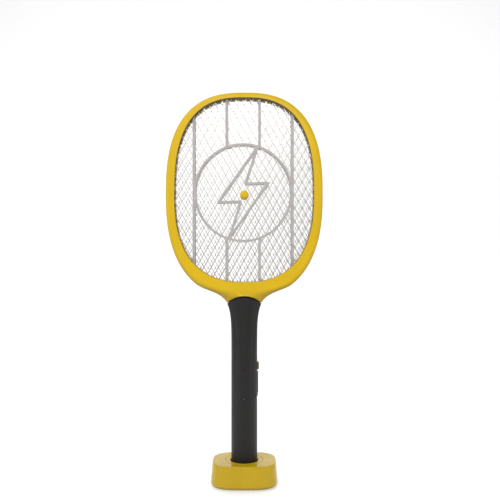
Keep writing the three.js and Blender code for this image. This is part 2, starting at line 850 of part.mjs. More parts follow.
function frontHandle() {
  let shell = handleShell(-1);
  for (const height of handleScrew.heights) {
    const reach = handleSize(height)[1] - handle.wall / 2;
    const from = [0, -FIT / 2, SEAT_Z + height];
    const bore = handleScrew.shankRadius + FIT;
    shell = shell.add(rodSolid(from, AXIS.front, reach, handle.frontPostRadius));
    shell = shell.subtract(rodSolid([0, 1, SEAT_Z + height], AXIS.front, reach - 1, bore, 10));
  }
  for (const height of [lamp.upper, lamp.lower]) {
    const from = [0, 0, SEAT_Z + height];
    shell = shell.subtract(rodSolid(from, AXIS.front, FAR, lamp.radius + FIT));
  }
  return shell;
}

function rearHandle() {
  let shell = handleShell(1);
  for (const height of handleScrew.heights) {
    const reach = handleSize(height)[1] - handle.wall / 2;
    const [shankHole, headHole] = [handleScrew.shankRadius + FIT, handleScrew.headRadius + FIT];
    const z = SEAT_Z + height;
    shell = shell.add(rodSolid([0, FIT / 2, z], AXIS.back, reach, handle.rearPostRadius));
    shell = shell.subtract(rodSolid([0, -1, z], AXIS.back, FAR, shankHole, 10));
    shell = shell.subtract(rodSolid([0, handleScrew.seat, z], AXIS.back, FAR, headHole));
  }
  return shell;
}

// Cap that closes the handle's lower end, with a spigot up into the shells and seats for the contacts.
function endCap() {
  const [r, h, edge] = [handle.radius, handle.capHeight, handle.capEdge];
  const spigot = HANDLE_BORE - FIT;
  const inside = spigot - handle.capSpigotWall;
  const profile = [
    [0, 0],
    [r - edge, 0],
    [r, edge],
    [r, h],
    [spigot, h],
    [spigot, h + handle.capSpigot],
    [inside, h + handle.capSpigot],
    [inside, h],
    [0, h],
  ];
  let cap = turnedSolid(profile, [0, 0, SEAT_Z], AXIS.up, 24);
  for (const x of [-dock.pinSpread, dock.pinSpread]) {
    const recess = CONTACT_RECESS + contact.thickness + FIT;
    cap = cap.subtract(rodSolid([x, 0, SEAT_Z - 1], AXIS.up, 1 + recess, contact.radius + FIT));
    cap = cap.subtract(rodSolid([x, 0, SEAT_Z], AXIS.up, 2 * h, contact.stemRadius + FIT, 10));
  }
  return cap;
}

// Contact in the end cap: a disc above the pin, with a stem up through the cap.
function contactSolid(x) {
  const top = handle.capHeight + contact.stemRise;
  const profile = [
    [0, 0],
    [contact.radius, 0],
    [contact.radius, contact.thickness],
    [contact.stemRadius, contact.thickness],
    [contact.stemRadius, top],
    [0, top],
  ];
  return turnedSolid(profile, [x, 0, SEAT_Z + CONTACT_RECESS], AXIS.up, 10);
}

function handleParts() {
  piece("front_handle_shell", frontHandle(), COLOURS.black, FINISH.satin);
  piece("rear_handle_shell", rearHandle(), COLOURS.black, FINISH.satin);
  piece("handle_end_cap", endCap(), COLOURS.black, FINISH.satin);
  piece("contact_left", contactSolid(-dock.pinSpread), COLOURS.brass, FINISH.metal);
  piece("contact_right", contactSolid(dock.pinSpread), COLOURS.brass, FINISH.metal);
  handleScrew.heights.forEach((height, i) => {
    const seat = [0, handleScrew.seat + FIT / 2, SEAT_Z + height];
    const screw = screwSolid(seat, AXIS.front, handleScrew);
    piece(`handle_screw_${i + 1}`, screw, COLOURS.steel, FINISH.metal);
  });
}

// ---------------------------------------------------------------- switches and lamps

// Sector of an upright round wall on the switch side.
function sideWall(outer, inner, halfWidth, from, to) {
  const wall = uprightSolid(outer, from, to).subtract(uprightSolid(inner, from - 1, to + 1));
  const low = [0, -halfWidth, SEAT_Z + from];
  return wall.intersect(boxSolid(low, [2 * outer, halfWidth, SEAT_Z + to]));
}

function switchSurround() {
  const { bottom, top, halfWidth, stand, thickness } = surround;
  const outer = handle.radius + stand;
  const wall = sideWall(outer, outer - thickness, halfWidth, bottom, top);
  const button = pressButton;
  const buttonHole = boxSolid(
    [0, -button.halfWidth - SLIDE, SEAT_Z + button.bottom - SLIDE],
    [FAR, button.halfWidth + SLIDE, SEAT_Z + button.bottom + button.height + SLIDE],
  );
  return wall.subtract(buttonHole).subtract(knobSlot(0, FAR));
}

const KNOB_MIDDLE = SEAT_Z + slideKnob.bottom + slideKnob.height / 2;
const BUTTON_MIDDLE = SEAT_Z + pressButton.bottom + pressButton.height / 2;

// Slot that the knob's neck slides in, between two distances from the axis.
function knobSlot(near, far) {
  const { neckHalfWidth, neckHeight, travel } = slideKnob;
  return boxSolid(
    [near, -neckHalfWidth - SLIDE, KNOB_MIDDLE - neckHeight / 2 - SLIDE],
    [far, neckHalfWidth + SLIDE, KNOB_MIDDLE + neckHeight / 2 + travel + SLIDE],
  );
}

function buttonSolid() {
  const { bottom, height, halfWidth, stand, flange } = pressButton;
  const top = bottom + height;
  const cap = sideWall(handle.radius + stand, BUTTON_BACK, halfWidth, bottom, top);
  const [low, high] = [bottom - flange, top + flange];
  const rim = sideWall(BUTTON_BACK + flange, BUTTON_BACK, halfWidth + flange, low, high);
  return cap.add(rim);
}

// Knob with a ribbed thumb pad outside, a neck through the slot and a tail in the slide switch.
function knobSolid() {
  const { bottom, height, halfWidth, stand, neckHalfWidth, neckHeight } = slideKnob;
  const under = handle.radius + surround.stand + FIT;
  const outer = handle.radius + stand;
  const pad = sideWall(outer, under, halfWidth, bottom, bottom + height);
  const tail = boxSolid(
    [SWITCH_FACE - knobTail, -neckHalfWidth, KNOB_MIDDLE - neckHeight / 2],
    [under + FIT, neckHalfWidth, KNOB_MIDDLE + neckHeight / 2],
  );
  return pad.add(tail);
}

// Housing of the press switch, with the hole its plunger works in.
function pressSwitch() {
  const { depth, front, pressHalfHeight } = switchBody;
  const low = [SWITCH_FACE - depth, -front, BUTTON_MIDDLE - pressHalfHeight];
  const body = boxSolid(low, [SWITCH_FACE, BOARD_FACE - FIT, BUTTON_MIDDLE + pressHalfHeight]);
  const holeEnd = PLUNGER_END - pressButton.travel - FIT;
  return body.subtract(rodSolid([holeEnd, 0, BUTTON_MIDDLE], AXIS.x, depth, plunger.radius + SLIDE));
}

function plungerSolid() {
  const { radius, tipRadius, tipHeight, length } = plunger;
  const profile = [[0, 0], [radius, 0], [radius, length - tipHeight], [tipRadius, length], [0, length]];
  return turnedSolid(profile, [PLUNGER_END, 0, BUTTON_MIDDLE], AXIS.x, 10);
}

// Housing of the slide switch, with the slot the knob's tail travels in.
function slideSwitch() {
  const { depth, front, slideReach, slotDepth } = switchBody;
  const low = [SWITCH_FACE - depth, -front, KNOB_MIDDLE - slideReach];
  const high = [SWITCH_FACE, BOARD_FACE - FIT, KNOB_MIDDLE + slideKnob.travel + slideReach];
  return boxSolid(low, high).subtract(knobSlot(SWITCH_FACE - slotDepth, FAR));
}

// Lamp rod from the board to the front of the handle, domed at the end.
function lampSolid(height) {
  const length = handle.radius + BOARD_FACE - FIT;
  const profile = [
    [0, 0],
    [lamp.flangeRadius, 0],
    [lamp.flangeRadius, lamp.flangeThickness],
    [lamp.radius, lamp.flangeThickness],
    [lamp.radius, length - lamp.radius / 3],
    [lamp.radius * 0.6, length],
    [0, length],
  ];
  return turnedSolid(profile, [0, BOARD_FACE - FIT, SEAT_Z + height], AXIS.front, 10);
}

function switchParts() {
  piece("switch_surround", switchSurround(), COLOURS.black, FINISH.satin);
  piece("press_button", buttonSolid(), COLOURS.yellow, FINISH.gloss);
  piece("slide_knob", knobSolid(), COLOURS.yellow, FINISH.gloss);
  piece("press_switch_plunger", plungerSolid(), COLOURS.red, FINISH.satin);
  piece("press_switch", pressSwitch(), COLOURS.black, FINISH.satin);
  piece("slide_switch", slideSwitch(), COLOURS.steel, FINISH.metal);
  piece("red_lamp", lampSolid(lamp.upper), COLOURS.red, FINISH.gloss);
  piece("green_lamp", lampSolid(lamp.lower), COLOURS.white, FINISH.gloss);
}

// ---------------------------------------------------------------- cell, board and leads

// Rechargeable cell with its raised end.
function cellSolid() {
  const { radius, length, bottom, terminalRadius, terminalRise } = cell;
  const shoulder = length - terminalRise;
  const profile = [
    [0, 0],
    [radius, 0],
    [radius, shoulder - 1],
    [radius - 1, shoulder],
    [terminalRadius, shoulder],
    [terminalRadius, length],
    [0, length],
  ];
  return turnedSolid(profile, [0, 0, SEAT_Z + cell.bottom], AXIS.up, 20);
}

// Cradle behind the cell: a half sleeve with an end wall above and below.
function cradleSolid() {
  const [from, to] = [cell.bottom - FIT, cell.bottom + cell.length + FIT];
  const inside = cell.radius + FIT;
  const block = uprightSolid(inside + cradle.wall, from - cradle.endWall, to + cradle.endWall, 20);
  return block.intersect(halfSpace(1)).subtract(uprightSolid(inside, from, to, 20));
}

function boardSolid() {
  const half = board.width / 2;
  const low = [-half, BOARD_FACE, SEAT_Z + board.bottom];
  return boxSolid(low, [half, board.back, SEAT_Z + board.bottom + board.length]);
}

// Step-up transformer: ferrite core round a winding on its bobbin.
function transformerSolid() {
  const { x, coreHalfWidth, coreDepth, coreHalfHeight, windingRadius, windingHalfHeight } = transformer;
  const [z, back] = [SEAT_Z + transformer.height, BOARD_FACE - FIT];
  const low = [x - coreHalfWidth, back - coreDepth, z - coreHalfHeight];
  const core = boxSolid(low, [x + coreHalfWidth, back, z + coreHalfHeight]);
  const from = [x, back - coreDepth / 2, z - windingHalfHeight];
  return core.add(rodSolid(from, AXIS.up, 2 * windingHalfHeight, windingRadius, 16));
}

// Film capacitor with rounded ends.
function capacitorSolid() {
  const { halfWidth, depth, halfHeight, endRadius } = capacitor;
  const [z, back] = [SEAT_Z + capacitor.height, BOARD_FACE - FIT];
  const block = boxSolid([-halfWidth, back - depth, z - halfHeight], [halfWidth, back, z + halfHeight]);
  const ends = [-halfWidth, halfWidth].map((x) =>
    rodSolid([x, back - depth / 2, z - halfHeight], AXIS.up, 2 * halfHeight, endRadius, 12),
  );
  return ends.reduce((sum, end) => sum.add(end), block);
}

// Rectifier diode lying on the board.
function diodeSolid() {
  const { x, height, radius, length } = diode;
  return rodSolid([x, BOARD_FACE - FIT - radius, SEAT_Z + height], AXIS.up, length, radius, 10);
}

// Lead from the board up through the tongue to the tab of a grid.
function leadSolid(side, startX) {
  const [x, y] = [side * leads.spread, side * leads.passDepth];
  const tabEnd = openingPoint(Math.PI, grid.rim - 0.5)[1] - grid.tabLength;
  const boardTop = SEAT_Z + board.bottom + board.length;
  const middle = BOARD_FACE + board.thickness / 2;
  const route = [
    [startX, middle, boardTop + FIT],
    [startX, middle, boardTop + 12],
    [mix(startX, x, 0.5), mix(middle, y, 0.5), mix(boardTop, tabEnd, 0.55)],
    [x, y, tabEnd - 6],
    [x, side * grid.spacing, tabEnd - FIT],
  ];
  const path = new THREE.CatmullRomCurve3(route.map((p) => new THREE.Vector3(...p)));
  const section = new THREE.Shape();
  section.absarc(0, 0, leads.radius, 0, 2 * Math.PI);
  return solidOf(new THREE.ExtrudeGeometry(section, { steps: 8, curveSegments: 4, extrudePath: path }));
}

function innerParts() {
  piece("battery_cell", cellSolid(), COLOURS.blue, FINISH.gloss);
  piece("battery_cradle", cradleSolid(), COLOURS.white, FINISH.satin);
  piece("main_board", boardSolid(), COLOURS.green, FINISH.satin);
  piece("step_up_transformer", transformerSolid(), COLOURS.white, FINISH.satin);
  piece("storage_capacitor", capacitorSolid(), COLOURS.red, FINISH.gloss);
  piece("rectifier_diode", diodeSolid(), COLOURS.black, FINISH.satin);
  piece("live_lead", leadSolid(0, leads.startX.live), COLOURS.red, FINISH.satin);
  piece("front_guard_lead", leadSolid(-1, leads.startX.front), COLOURS.white, FINISH.satin);
  piece("rear_guard_lead", leadSolid(1, leads.startX.rear), COLOURS.white, FINISH.satin);
}

// ---------------------------------------------------------------- base

const BASE_COUNT = 36;

// Loop of the base's footprint at a height, drawn in by an inset.
function baseLoop(z, inset, halfWidth, halfDepth) {
  return steps(BASE_COUNT).map((t) => {
    const [s, c] = [Math.sin(2 * Math.PI * t), Math.cos(2 * Math.PI * t)];
    const [a, b] = [halfWidth - inset, halfDepth - inset];
    const r = ((Math.abs(c) / a) ** base.power + (Math.abs(s) / b) ** base.power) ** (-1 / base.power);
    return [r * c, r * s, z];
  });
}

// Half-width and half-depth of the base at a height: it is wider below.
function baseSize(z) {
  const t = clamp((z - base.footHeight) / (base.height - base.footHeight));
  return [mix(base.bottomHalfWidth, base.topHalfWidth, t), mix(base.bottomHalfDepth, base.topHalfDepth, t)];
}

const sideLoop = (z, inset) => baseLoop(z, inset, ...baseSize(z));

function roundLoop(radius, z) {
  return steps(BASE_COUNT).map((t) => [
    radius * Math.cos(2 * Math.PI * t),
    radius * Math.sin(2 * Math.PI * t),
    z,
  ]);
}

const baseScrewPlaces = [-1, 1].flatMap((i) =>
  [-1, 1].map((j) => [i * base.screwSpreadX, j * base.screwSpreadY]),
);

function baseShell() {
  const { height, footHeight, bottomRound, topRound, wall } = base;
  const roundUp = [0, 0.3, 0.7, 1].map((t) => {
    const inset = bottomRound * (1 - Math.sin((t * Math.PI) / 2));
    return sideLoop(footHeight + bottomRound * (1 - Math.cos((t * Math.PI) / 2)), inset);
  });
  const seat = height - dock.collarThickness - FIT;
  let shell = ringSolid([
    sideLoop(footHeight, bottomRound + wall),
    ...roundUp,
    sideLoop(height - topRound, 0),
    sideLoop(height - 0.3 * topRound, 0.3 * topRound),
    sideLoop(height, topRound),
    roundLoop(dock.collarRadius + FIT, height),
    roundLoop(dock.collarRadius + FIT, seat),
    roundLoop(SLEEVE_OUTER + FIT, seat),
    roundLoop(SLEEVE_OUTER + FIT, seat - wall),
    sideLoop(seat - wall, wall + 1),
    sideLoop(footHeight + bottomRound, wall),
  ]);
  for (const [x, y] of baseScrewPlaces) {
    const length = height - wall - BASE_POST_BOTTOM;
    const bore = baseScrew.shankRadius + FIT;
    const boreEnd = base.footHeight + base.screwHeadDepth + baseScrew.length + 2;
    shell = shell.add(rodSolid([x, y, BASE_POST_BOTTOM], AXIS.up, length, base.shellPostRadius, 8));
    shell = shell.subtract(rodSolid([x, y, 0], AXIS.up, boreEnd, bore, 8));
  }
  return shell.subtract(inletWindow());
}

// Opening in the rear wall for the charging inlet.
function inletWindow() {
  const [x, z] = [inlet.width / 2 + FIT, inlet.height / 2 + FIT];
  const front = base.bottomHalfDepth - inlet.depth - 2;
  return boxSolid([-x, front, INLET_Z - z], [x, FAR, INLET_Z + z]);
}

// Collar insert: a flange flush with the top, the sleeve that holds the handle, and its floor.
function collarSolid() {
  const { collarRadius, collarThickness, floorThickness } = dock;
  const floorTop = SEAT_Z - FIT;
  const profile = [
    [0, floorTop - floorThickness],
    [SLEEVE_OUTER, floorTop - floorThickness],
    [SLEEVE_OUTER, base.height - collarThickness],
    [collarRadius, base.height - collarThickness],
    [collarRadius, base.height],
    [SLEEVE_INNER + dock.mouthBevel, base.height],
    [SLEEVE_INNER, base.height - dock.mouthBevel],
    [SLEEVE_INNER, floorTop],
    [0, floorTop],
  ];
  let collar = turnedSolid(profile, [0, 0, 0], AXIS.up, 28);
  for (const x of [-dock.pinSpread, dock.pinSpread]) {
    collar = collar.subtract(rodSolid([x, 0, 0], AXIS.up, SEAT_Z, dock.pinRadius + SLIDE));
  }
  return collar;
}

function bottomPlate() {
  const inset = base.bottomRound + base.wall + FIT;
  const footprint = baseSize(base.footHeight);
  const levels = [base.footHeight, PLATE_TOP].map((z) => baseLoop(z, inset, ...footprint));
  let plate = stackSolid(levels);
  const headHoleEnd = base.footHeight + base.screwHeadDepth;
  const postLength = BASE_POST_BOTTOM - FIT - base.footHeight;
  for (const [x, y] of baseScrewPlaces) {
    plate = plate.add(rodSolid([x, y, base.footHeight], AXIS.up, postLength, base.platePostRadius, 10));
    plate = plate.subtract(rodSolid([x, y, 0], AXIS.up, FAR, baseScrew.shankRadius + FIT, 8));
    plate = plate.subtract(rodSolid([x, y, 0], AXIS.up, headHoleEnd, baseScrew.headRadius + FIT, 10));
  }
  return plate;
}

function chargingBoard() {
  const { boardHalfWidth, boardFront, boardRearGap } = base;
  const rear = base.bottomHalfDepth - base.wall - boardRearGap;
  return boxSolid([-boardHalfWidth, boardFront, CHARGER_BOTTOM], [boardHalfWidth, rear, CHARGER_TOP]);
}

// Barrel that guides a contact pin, standing on the charging board.
function pinBarrel(x) {
  const [inner, outer] = [dock.pinRadius + SLIDE, dock.pinBarrelRadius + SLIDE];
  const top = SEAT_Z - FIT - dock.floorThickness - FIT;
  const bottom = CHARGER_TOP + FIT;
  const profile = [[inner, bottom], [outer, bottom], [outer, top], [inner, top]];
  return turnedSolid(profile, [x, 0, 0], AXIS.up, 10);
}

function contactPin(x) {
  const [r, top] = [dock.pinRadius, SEAT_Z + dock.pinTravel];
  const bottom = CHARGER_TOP + FIT + dock.pinTravel;
  const profile = [[0, bottom], [r, bottom], [r, top - 0.7], [r * 0.5, top], [0, top]];
  return turnedSolid(profile, [x, 0, 0], AXIS.up, 10);
}

// Charging inlet: a flat metal sleeve with a contact tongue, closed behind.
function inletSolid() {
  const { depth, wall, recess, bladeHalfWidth, bladeThickness } = inlet;
  const [x, z] = [inlet.width / 2, inlet.height / 2];
  const mouth = base.bottomHalfDepth - recess;
  const outer = boxSolid([-x, mouth - depth, INLET_Z - z], [x, mouth, INLET_Z + z]);
  const hollow = boxSolid(
    [wall - x, mouth - depth + 2 * wall, INLET_Z - z + wall],
    [x - wall, FAR, INLET_Z + z - wall],
  );
  const blade = boxSolid(
    [-bladeHalfWidth, mouth - depth, INLET_Z - bladeThickness / 2],
    [bladeHalfWidth, mouth - 3 * wall, INLET_Z + bladeThickness / 2],
  );
  return outer.subtract(hollow).add(blade);
}

// Steel weight beside the sleeve: side -1 is the left, +1 the right.
function weightSolid(side) {
  const near = SLEEVE_OUTER + base.weightGap;
  const far = baseSize(base.height)[0] - base.wall - base.weightGap - 1;
  const [left, right] = side < 0 ? [-far, -near] : [near, far];
  const bottom = PLATE_TOP + FIT;
  const low = [left, -base.weightHalfDepth, bottom];
  return boxSolid(low, [right, base.weightHalfDepth, bottom + base.weightHeight]);
}

const footPlaces = [-1, 1].flatMap((i) =>
  [-1, 1].map((j) => [i * base.footSpreadX, j * base.footSpreadY]),
);

function footSolid(x, y) {
  const height = base.footHeight - FIT;
  const profile = [[0, 0], [base.footRadius, 0], [base.footRadius, height], [0, height]];
  return turnedSolid(profile, [x, y, 0], AXIS.up, 12);
}

function baseParts() {
  piece("base_shell", baseShell(), COLOURS.yellow, FINISH.gloss);
  piece("base_collar", collarSolid(), COLOURS.yellow, FINISH.gloss);
  piece("base_bottom_plate", bottomPlate(), COLOURS.yellow, FINISH.satin);
  piece("charging_board", chargingBoard(), COLOURS.green, FINISH.satin);
  piece("charging_inlet", inletSolid(), COLOURS.steel, FINISH.metal);
  for (const [name, x] of [["left", -dock.pinSpread], ["right", dock.pinSpread]]) {
    piece(`pin_barrel_${name}`, pinBarrel(x), COLOURS.brass, FINISH.metal);
    piece(`contact_pin_${name}`, contactPin(x), COLOURS.brass, FINISH.metal);
  }
  for (const [name, side] of [["left", -1], ["right", 1]]) {
    piece(`base_weight_${name}`, weightSolid(side), COLOURS.steel, FINISH.metal);
  }
  baseScrewPlaces.forEach(([x, y], i) => {
    const seat = [x, y, base.footHeight + base.screwHeadDepth - FIT / 2];
    piece(`base_screw_${i + 1}`, screwSolid(seat, AXIS.up, baseScrew), COLOURS.steel, FINISH.metal);
  });
  footPlaces.forEach(([x, y], i) => {
    piece(`foot_${i + 1}`, footSolid(x, y), COLOURS.rubber, FINISH.rubber);
  });
}

headParts();
gridParts();
handleParts();
switchParts();
innerParts();
baseParts();

export default model;
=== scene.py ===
"""Looks of the electric fly swatter standing in its charging base. Metres, +Z up, -Y is the front."""

import math

import bmesh
import bpy
from bpy.props import FloatProperty, FloatVectorProperty, IntProperty, PointerProperty
from mathutils import Matrix, Vector


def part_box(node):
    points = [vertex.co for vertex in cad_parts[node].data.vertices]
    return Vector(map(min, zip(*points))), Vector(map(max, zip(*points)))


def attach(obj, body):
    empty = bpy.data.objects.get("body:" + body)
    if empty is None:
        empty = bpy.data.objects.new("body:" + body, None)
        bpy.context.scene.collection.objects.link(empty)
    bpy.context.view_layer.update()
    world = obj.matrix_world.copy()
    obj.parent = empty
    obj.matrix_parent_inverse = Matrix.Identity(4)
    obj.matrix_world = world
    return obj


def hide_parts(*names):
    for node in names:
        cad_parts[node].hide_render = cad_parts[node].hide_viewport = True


bl_info = {
    "name": "Electric Fly Swatter",
    "version": (1, 0, 0),
    "blender": (4, 5, 0),
    "location": "3D View > Sidebar > Swatter",
    "description": "Makes the shells, grids, switches and base of an electric fly swatter round its frame",
    "category": "Object",
}

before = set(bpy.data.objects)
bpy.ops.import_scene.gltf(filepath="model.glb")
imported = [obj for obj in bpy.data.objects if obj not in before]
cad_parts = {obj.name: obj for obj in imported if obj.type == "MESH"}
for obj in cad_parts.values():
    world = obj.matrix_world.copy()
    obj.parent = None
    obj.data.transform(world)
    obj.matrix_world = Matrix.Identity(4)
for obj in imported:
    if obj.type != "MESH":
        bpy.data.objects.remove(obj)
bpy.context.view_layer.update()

FIT = 0.0003  # clearance between pieces that seat on each other
SLIDE = 0.00035  # clearance round a piece that slides


def middle(node):
    """The middle of a frame node's box."""
    low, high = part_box(node)
    return (low + high) / 2


SEAT_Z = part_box("handle_end_cap")[0].z
HEAD_Z = middle("front_stud").z
BASE_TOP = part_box("base_shell")[1].z
FLOOR_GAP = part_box("base_shell")[0].z


# ------------------------------------------------------------------ settings


def length(name, description, default):
    """A size that a user can set."""
    return FloatProperty(
        name=name, description=description, default=default, unit="LENGTH", precision=5
    )


def number(name, description, default):
    """A plain number that a user can set."""
    return FloatProperty(name=name, description=description, default=default, precision=3)


def colour(name, description, red, green, blue):
    """A colour that a user can set, from its display values of 0 to 255."""
    linear = [channel_to_linear(value / 255) for value in (red, green, blue)]
    return FloatVectorProperty(
        name=name, description=description, default=linear, subtype="COLOR", size=3, min=0, max=1
    )


def channel_to_linear(value):
    """One display colour channel as linear light."""
    if value <= 0.04045:
        return value / 12.92
    return ((value + 0.055) / 1.055) ** 2.4


class HeadSettings(bpy.types.PropertyGroup):
    """Sizes of the head frame and the neck."""

    half_width: length("Half width", "Half the width of the head", 0.1038)
    top_reach: length("Top reach", "From the centre of the head to its top", 0.1353)
    bottom_reach: length("Bottom reach", "From the centre to the bottom of the oval", 0.137)
    top_power: number("Top squareness", "Squareness of the upper half; 2 is an ellipse", 2.6)
    bottom_power: number("Bottom squareness", "Squareness of the lower half", 2.45)
    side_band: length("Side band", "Width of the frame at the sides", 0.0119)
    top_band: length("Top band", "Width of the frame at the top", 0.0078)
    bottom_band: length("Bottom band", "Width of the oval below the opening", 0.0213)
    opening_top_power: number("Opening top", "Squareness of the opening's upper half", 2.65)
    opening_bottom_power: number("Opening bottom", "Squareness of its lower half", 2.5)
    half_depth: length("Half depth", "From the middle plane to the front face", 0.013)
    edge_round: length("Edge rounding", "Radius of the outer edge", 0.005)
    lip_round: length("Lip rounding", "Radius of the edge of the opening", 0.0009)
    wall: length("Wall", "Thickness of the shells", 0.0022)
    lip_wall: length("Lip wall", "Thickness of the lip round the opening", 0.002)
    flat_band: length("Flat band", "Width of the flat band below the opening", 0.0115)
    band_softness: length("Band softness", "Half width of the bend below the flat band", 0.0012)
    neck_slope: number("Neck slope", "How fast the neck slopes back", 0.095)
    join_angle: number("Join angle", "Where the oval turns into the neck, degrees", 150.8)
    upper_pull: length("Upper pull", "Reach of the neck curve's upper handle", 0.0171)
    lower_pull: length("Lower pull", "Reach of the neck curve's lower handle", 0.0189)
    lower_lean: number("Lower lean", "Lean of the neck curve at the shoulder", 0.607)
    seam: length("Seam", "Gap between neck and handle at the shoulders", 0.0008)
    seam_crown: length("Seam crown", "How much wider the gap is in the middle", 0.002)


class GridSettings(bpy.types.PropertyGroup):
    """Sizes of the three grids and the ribs."""

    cell_width: length("Cell width", "Width of a diamond cell", 0.0097)
    cell_height: length("Cell height", "Height of a diamond cell", 0.0175)
    strand: length("Strand", "Width of a strand of the guards", 0.0008)
    live_strand: length("Live strand", "Width of a strand of the live grid", 0.0006)
    node_fill: length("Node fill", "How far the metal fills a cell's corners", 0.0011)
    sheet: length("Sheet", "Thickness of a grid's metal", 0.0005)
    spacing: length("Spacing", "Between neighbouring grids", 0.0054)
    rim: length("Rim", "Width of the rim held by the frame", 0.0034)
    bar_width: length("Bar width", "Width of the upright ribs", 0.0036)
    ring_width: length("Ring width", "Width of the round rib", 0.0029)
    stroke_width: length("Stroke width", "Width of the bolt's strokes", 0.0031)
    rib_height: length("Rib height", "Height of the ribs over the guard", 0.0014)
    rib_edge: length("Rib edge", "Rounding of the ribs", 0.0004)
    rib_spacing: length("Rib spacing", "Between the upright ribs", 0.0435)
    rib_count: IntProperty(name="Rib count", description="Number of upright ribs", default=4)
    ring_radius: length("Ring radius", "Radius of the round rib", 0.064)
    rib_shift: length("Rib shift", "Centre of the ribs from the stud, across", -0.0014)
    rib_rise: length("Rib rise", "Centre of the ribs over the stud", 0.003)
    stud_radius: length("Stud radius", "Radius of the centre stud", 0.0058)
    stud_height: length("Stud height", "Height of the centre stud", 0.0036)


class HandleSettings(bpy.types.PropertyGroup):
    """Sizes of the handle."""

    length: length("Length", "Underside to shoulders", 0.2293)
    radius: length("Radius", "Radius of the grip", 0.0173)
    shoulder_half_width: length("Shoulder half width", "Half width at the shoulders", 0.0229)
    shoulder_half_depth: length("Shoulder half depth", "Half depth at the shoulders", 0.0113)
    crown_rise: length("Crown rise", "Height of the domed top", 0.008)
    flare_start: length("Flare start", "Height where the section starts to change", 0.14)
    flare_power: number("Flare power", "How late the width flares", 7.0)
    wall: length("Wall", "Thickness of the shells", 0.0022)
    cap_height: length("Cap height", "Height of the end cap", 0.004)


class SwitchSettings(bpy.types.PropertyGroup):
    """Sizes of the button, the knob, their surround and the lamps."""

    surround_bottom: length("Surround bottom", "Its height above the handle's end", 0.1045)
    surround_top: length("Surround top", "Its height above the handle's end", 0.1585)
    surround_half_width: length("Surround half width", "Half its width", 0.009)
    surround_stand: length("Surround stand", "How far its rim stands out", 0.0009)
    surround_floor: length("Surround floor", "How far its middle stands out", 0.0003)
    button_bottom: length("Button bottom", "Its height above the handle's end", 0.111)
    button_height: length("Button height", "Length of the button", 0.0288)
    button_half_width: length("Button half width", "Half its width", 0.0054)
    button_stand: length("Button stand", "How far it stands out", 0.0014)
    knob_bottom: length("Knob bottom", "Its height above the handle's end", 0.1423)
    knob_height: length("Knob height", "Height of the knob", 0.0098)
    knob_half_width: length("Knob half width", "Half its width", 0.0042)
    knob_stand: length("Knob stand", "How far it stands out", 0.0027)
    lamp_radius: length("Lamp radius", "Radius of the lamps", 0.00135)
    upper_lamp: length("Upper lamp", "Height of the red lamp", 0.1438)
    lower_lamp: length("Lower lamp", "Height of the clear lamp", 0.1048)


class BaseSettings(bpy.types.PropertyGroup):
    """Sizes of the base."""

    top_half_width: length("Top half width", "Half the width of the top", 0.042)
    bottom_half_width: length("Bottom half width", "Half the width at the bottom", 0.0445)
    top_half_depth: length("Top half depth", "Half the depth of the top", 0.036)
    bottom_half_depth: length("Bottom half depth", "Half the depth at the bottom", 0.03797)
    power: number("Squareness", "Squareness of the footprint; 2 is an ellipse", 3.3)
    bottom_round: length("Bottom rounding", "Radius of the lower edge", 0.0045)
    top_round: length("Top rounding", "Radius of the upper edge", 0.0016)
    wall: length("Wall", "Thickness of the shell", 0.0024)
    collar_radius: length("Collar radius", "Radius of the insert in the top", 0.0246)
    collar_thickness: length("Collar thickness", "Thickness of its flange", 0.0018)
    collar_edge: length("Collar edge", "Rounding on both sides of its groove", 0.0005)
    gap: length("Gap", "Between the handle and its sleeve", 0.00075)
    sleeve_wall: length("Sleeve wall", "Thickness of the sleeve", 0.0018)
    mouth_bevel: length("Mouth bevel", "Bevel at the mouth of the sleeve", 0.0012)
    foot_radius: length("Foot radius", "Radius of a foot", 0.005)


class FinishSettings(bpy.types.PropertyGroup):
    """Colours of the materials."""

    head_yellow: colour("Head yellow", "Moulded yellow of the head", 209, 172, 8)
    base_yellow: colour("Base yellow", "Glossy yellow of the base", 187, 155, 0)
    # Knob and button: yellow plastic made darker as painted shade, the button darker than the knob.
    knob_painted_shade: colour("Knob painted shade", "Deeper yellow of the knob", 112, 92, 36)
    button_painted_shade: colour("Button painted shade", "Deeper yellow of the button", 62, 50, 14)
    # Painted shade of the opening's upper wall and of the spacer rings.
    wall_painted_shade: colour("Wall shade", "Upper wall of the opening", 66, 50, 10)
    grip_black: colour("Grip black", "Soft black of the handle", 17, 15, 14)
    rib_grey: colour("Rib grey", "Warm grey of the ribs", 172, 167, 165)
    guard_grey: colour("Guard grey", "Metal of the guards", 206, 202, 198)
    live_metal: colour("Live metal", "Bright metal of the live grid", 214, 210, 206)
    steel: colour("Steel", "Screws and the inlet", 196, 196, 198)
    brass: colour("Brass", "Contacts", 205, 166, 84)
    lens_red: colour("Red lens", "Lens of the upper lamp", 96, 20, 16)
    lens_clear: colour("Clear lens", "Lens of the lower lamp", 96, 108, 96)
    rubber: colour("Rubber", "Feet", 34, 34, 35)


class StageSettings(bpy.types.PropertyGroup):
    """Floor, lights and camera."""

    lens: number("Lens", "Focal length of the camera, millimetres", 51.84)
    camera_x: length("Camera X", "The camera's place across", 0.0076)
    camera_height: length("Camera height", "The camera's height over the floor", 0.31)
    camera_distance: length("Camera distance", "From the middle plane to the camera", 0.96)
    surround_light: number("Surround light", "Strength of the even light", 0.34)
    key_light: number("Key light", "Power of the large light above", 12.0)
    side_light: number("Side light", "Power of the light at the left", 3.6)
    strip_light: number("Strip light", "Power of the tall light at the right", 1.6)
    front_light: number("Front light", "Power of the small light high in front", 3.0)
    back_light: number("Back light", "Power of the light on the backdrop and floor", 24.0)
    floor_tone: number("Floor tone", "Lightness of the floor", 0.55)
    floor_glow: number("Floor glow", "Own light of the floor, which softens shadows", 0.5)


def settings(name):
    """One group of this object's settings."""
    return getattr(bpy.context.scene, "swatter_" + name)


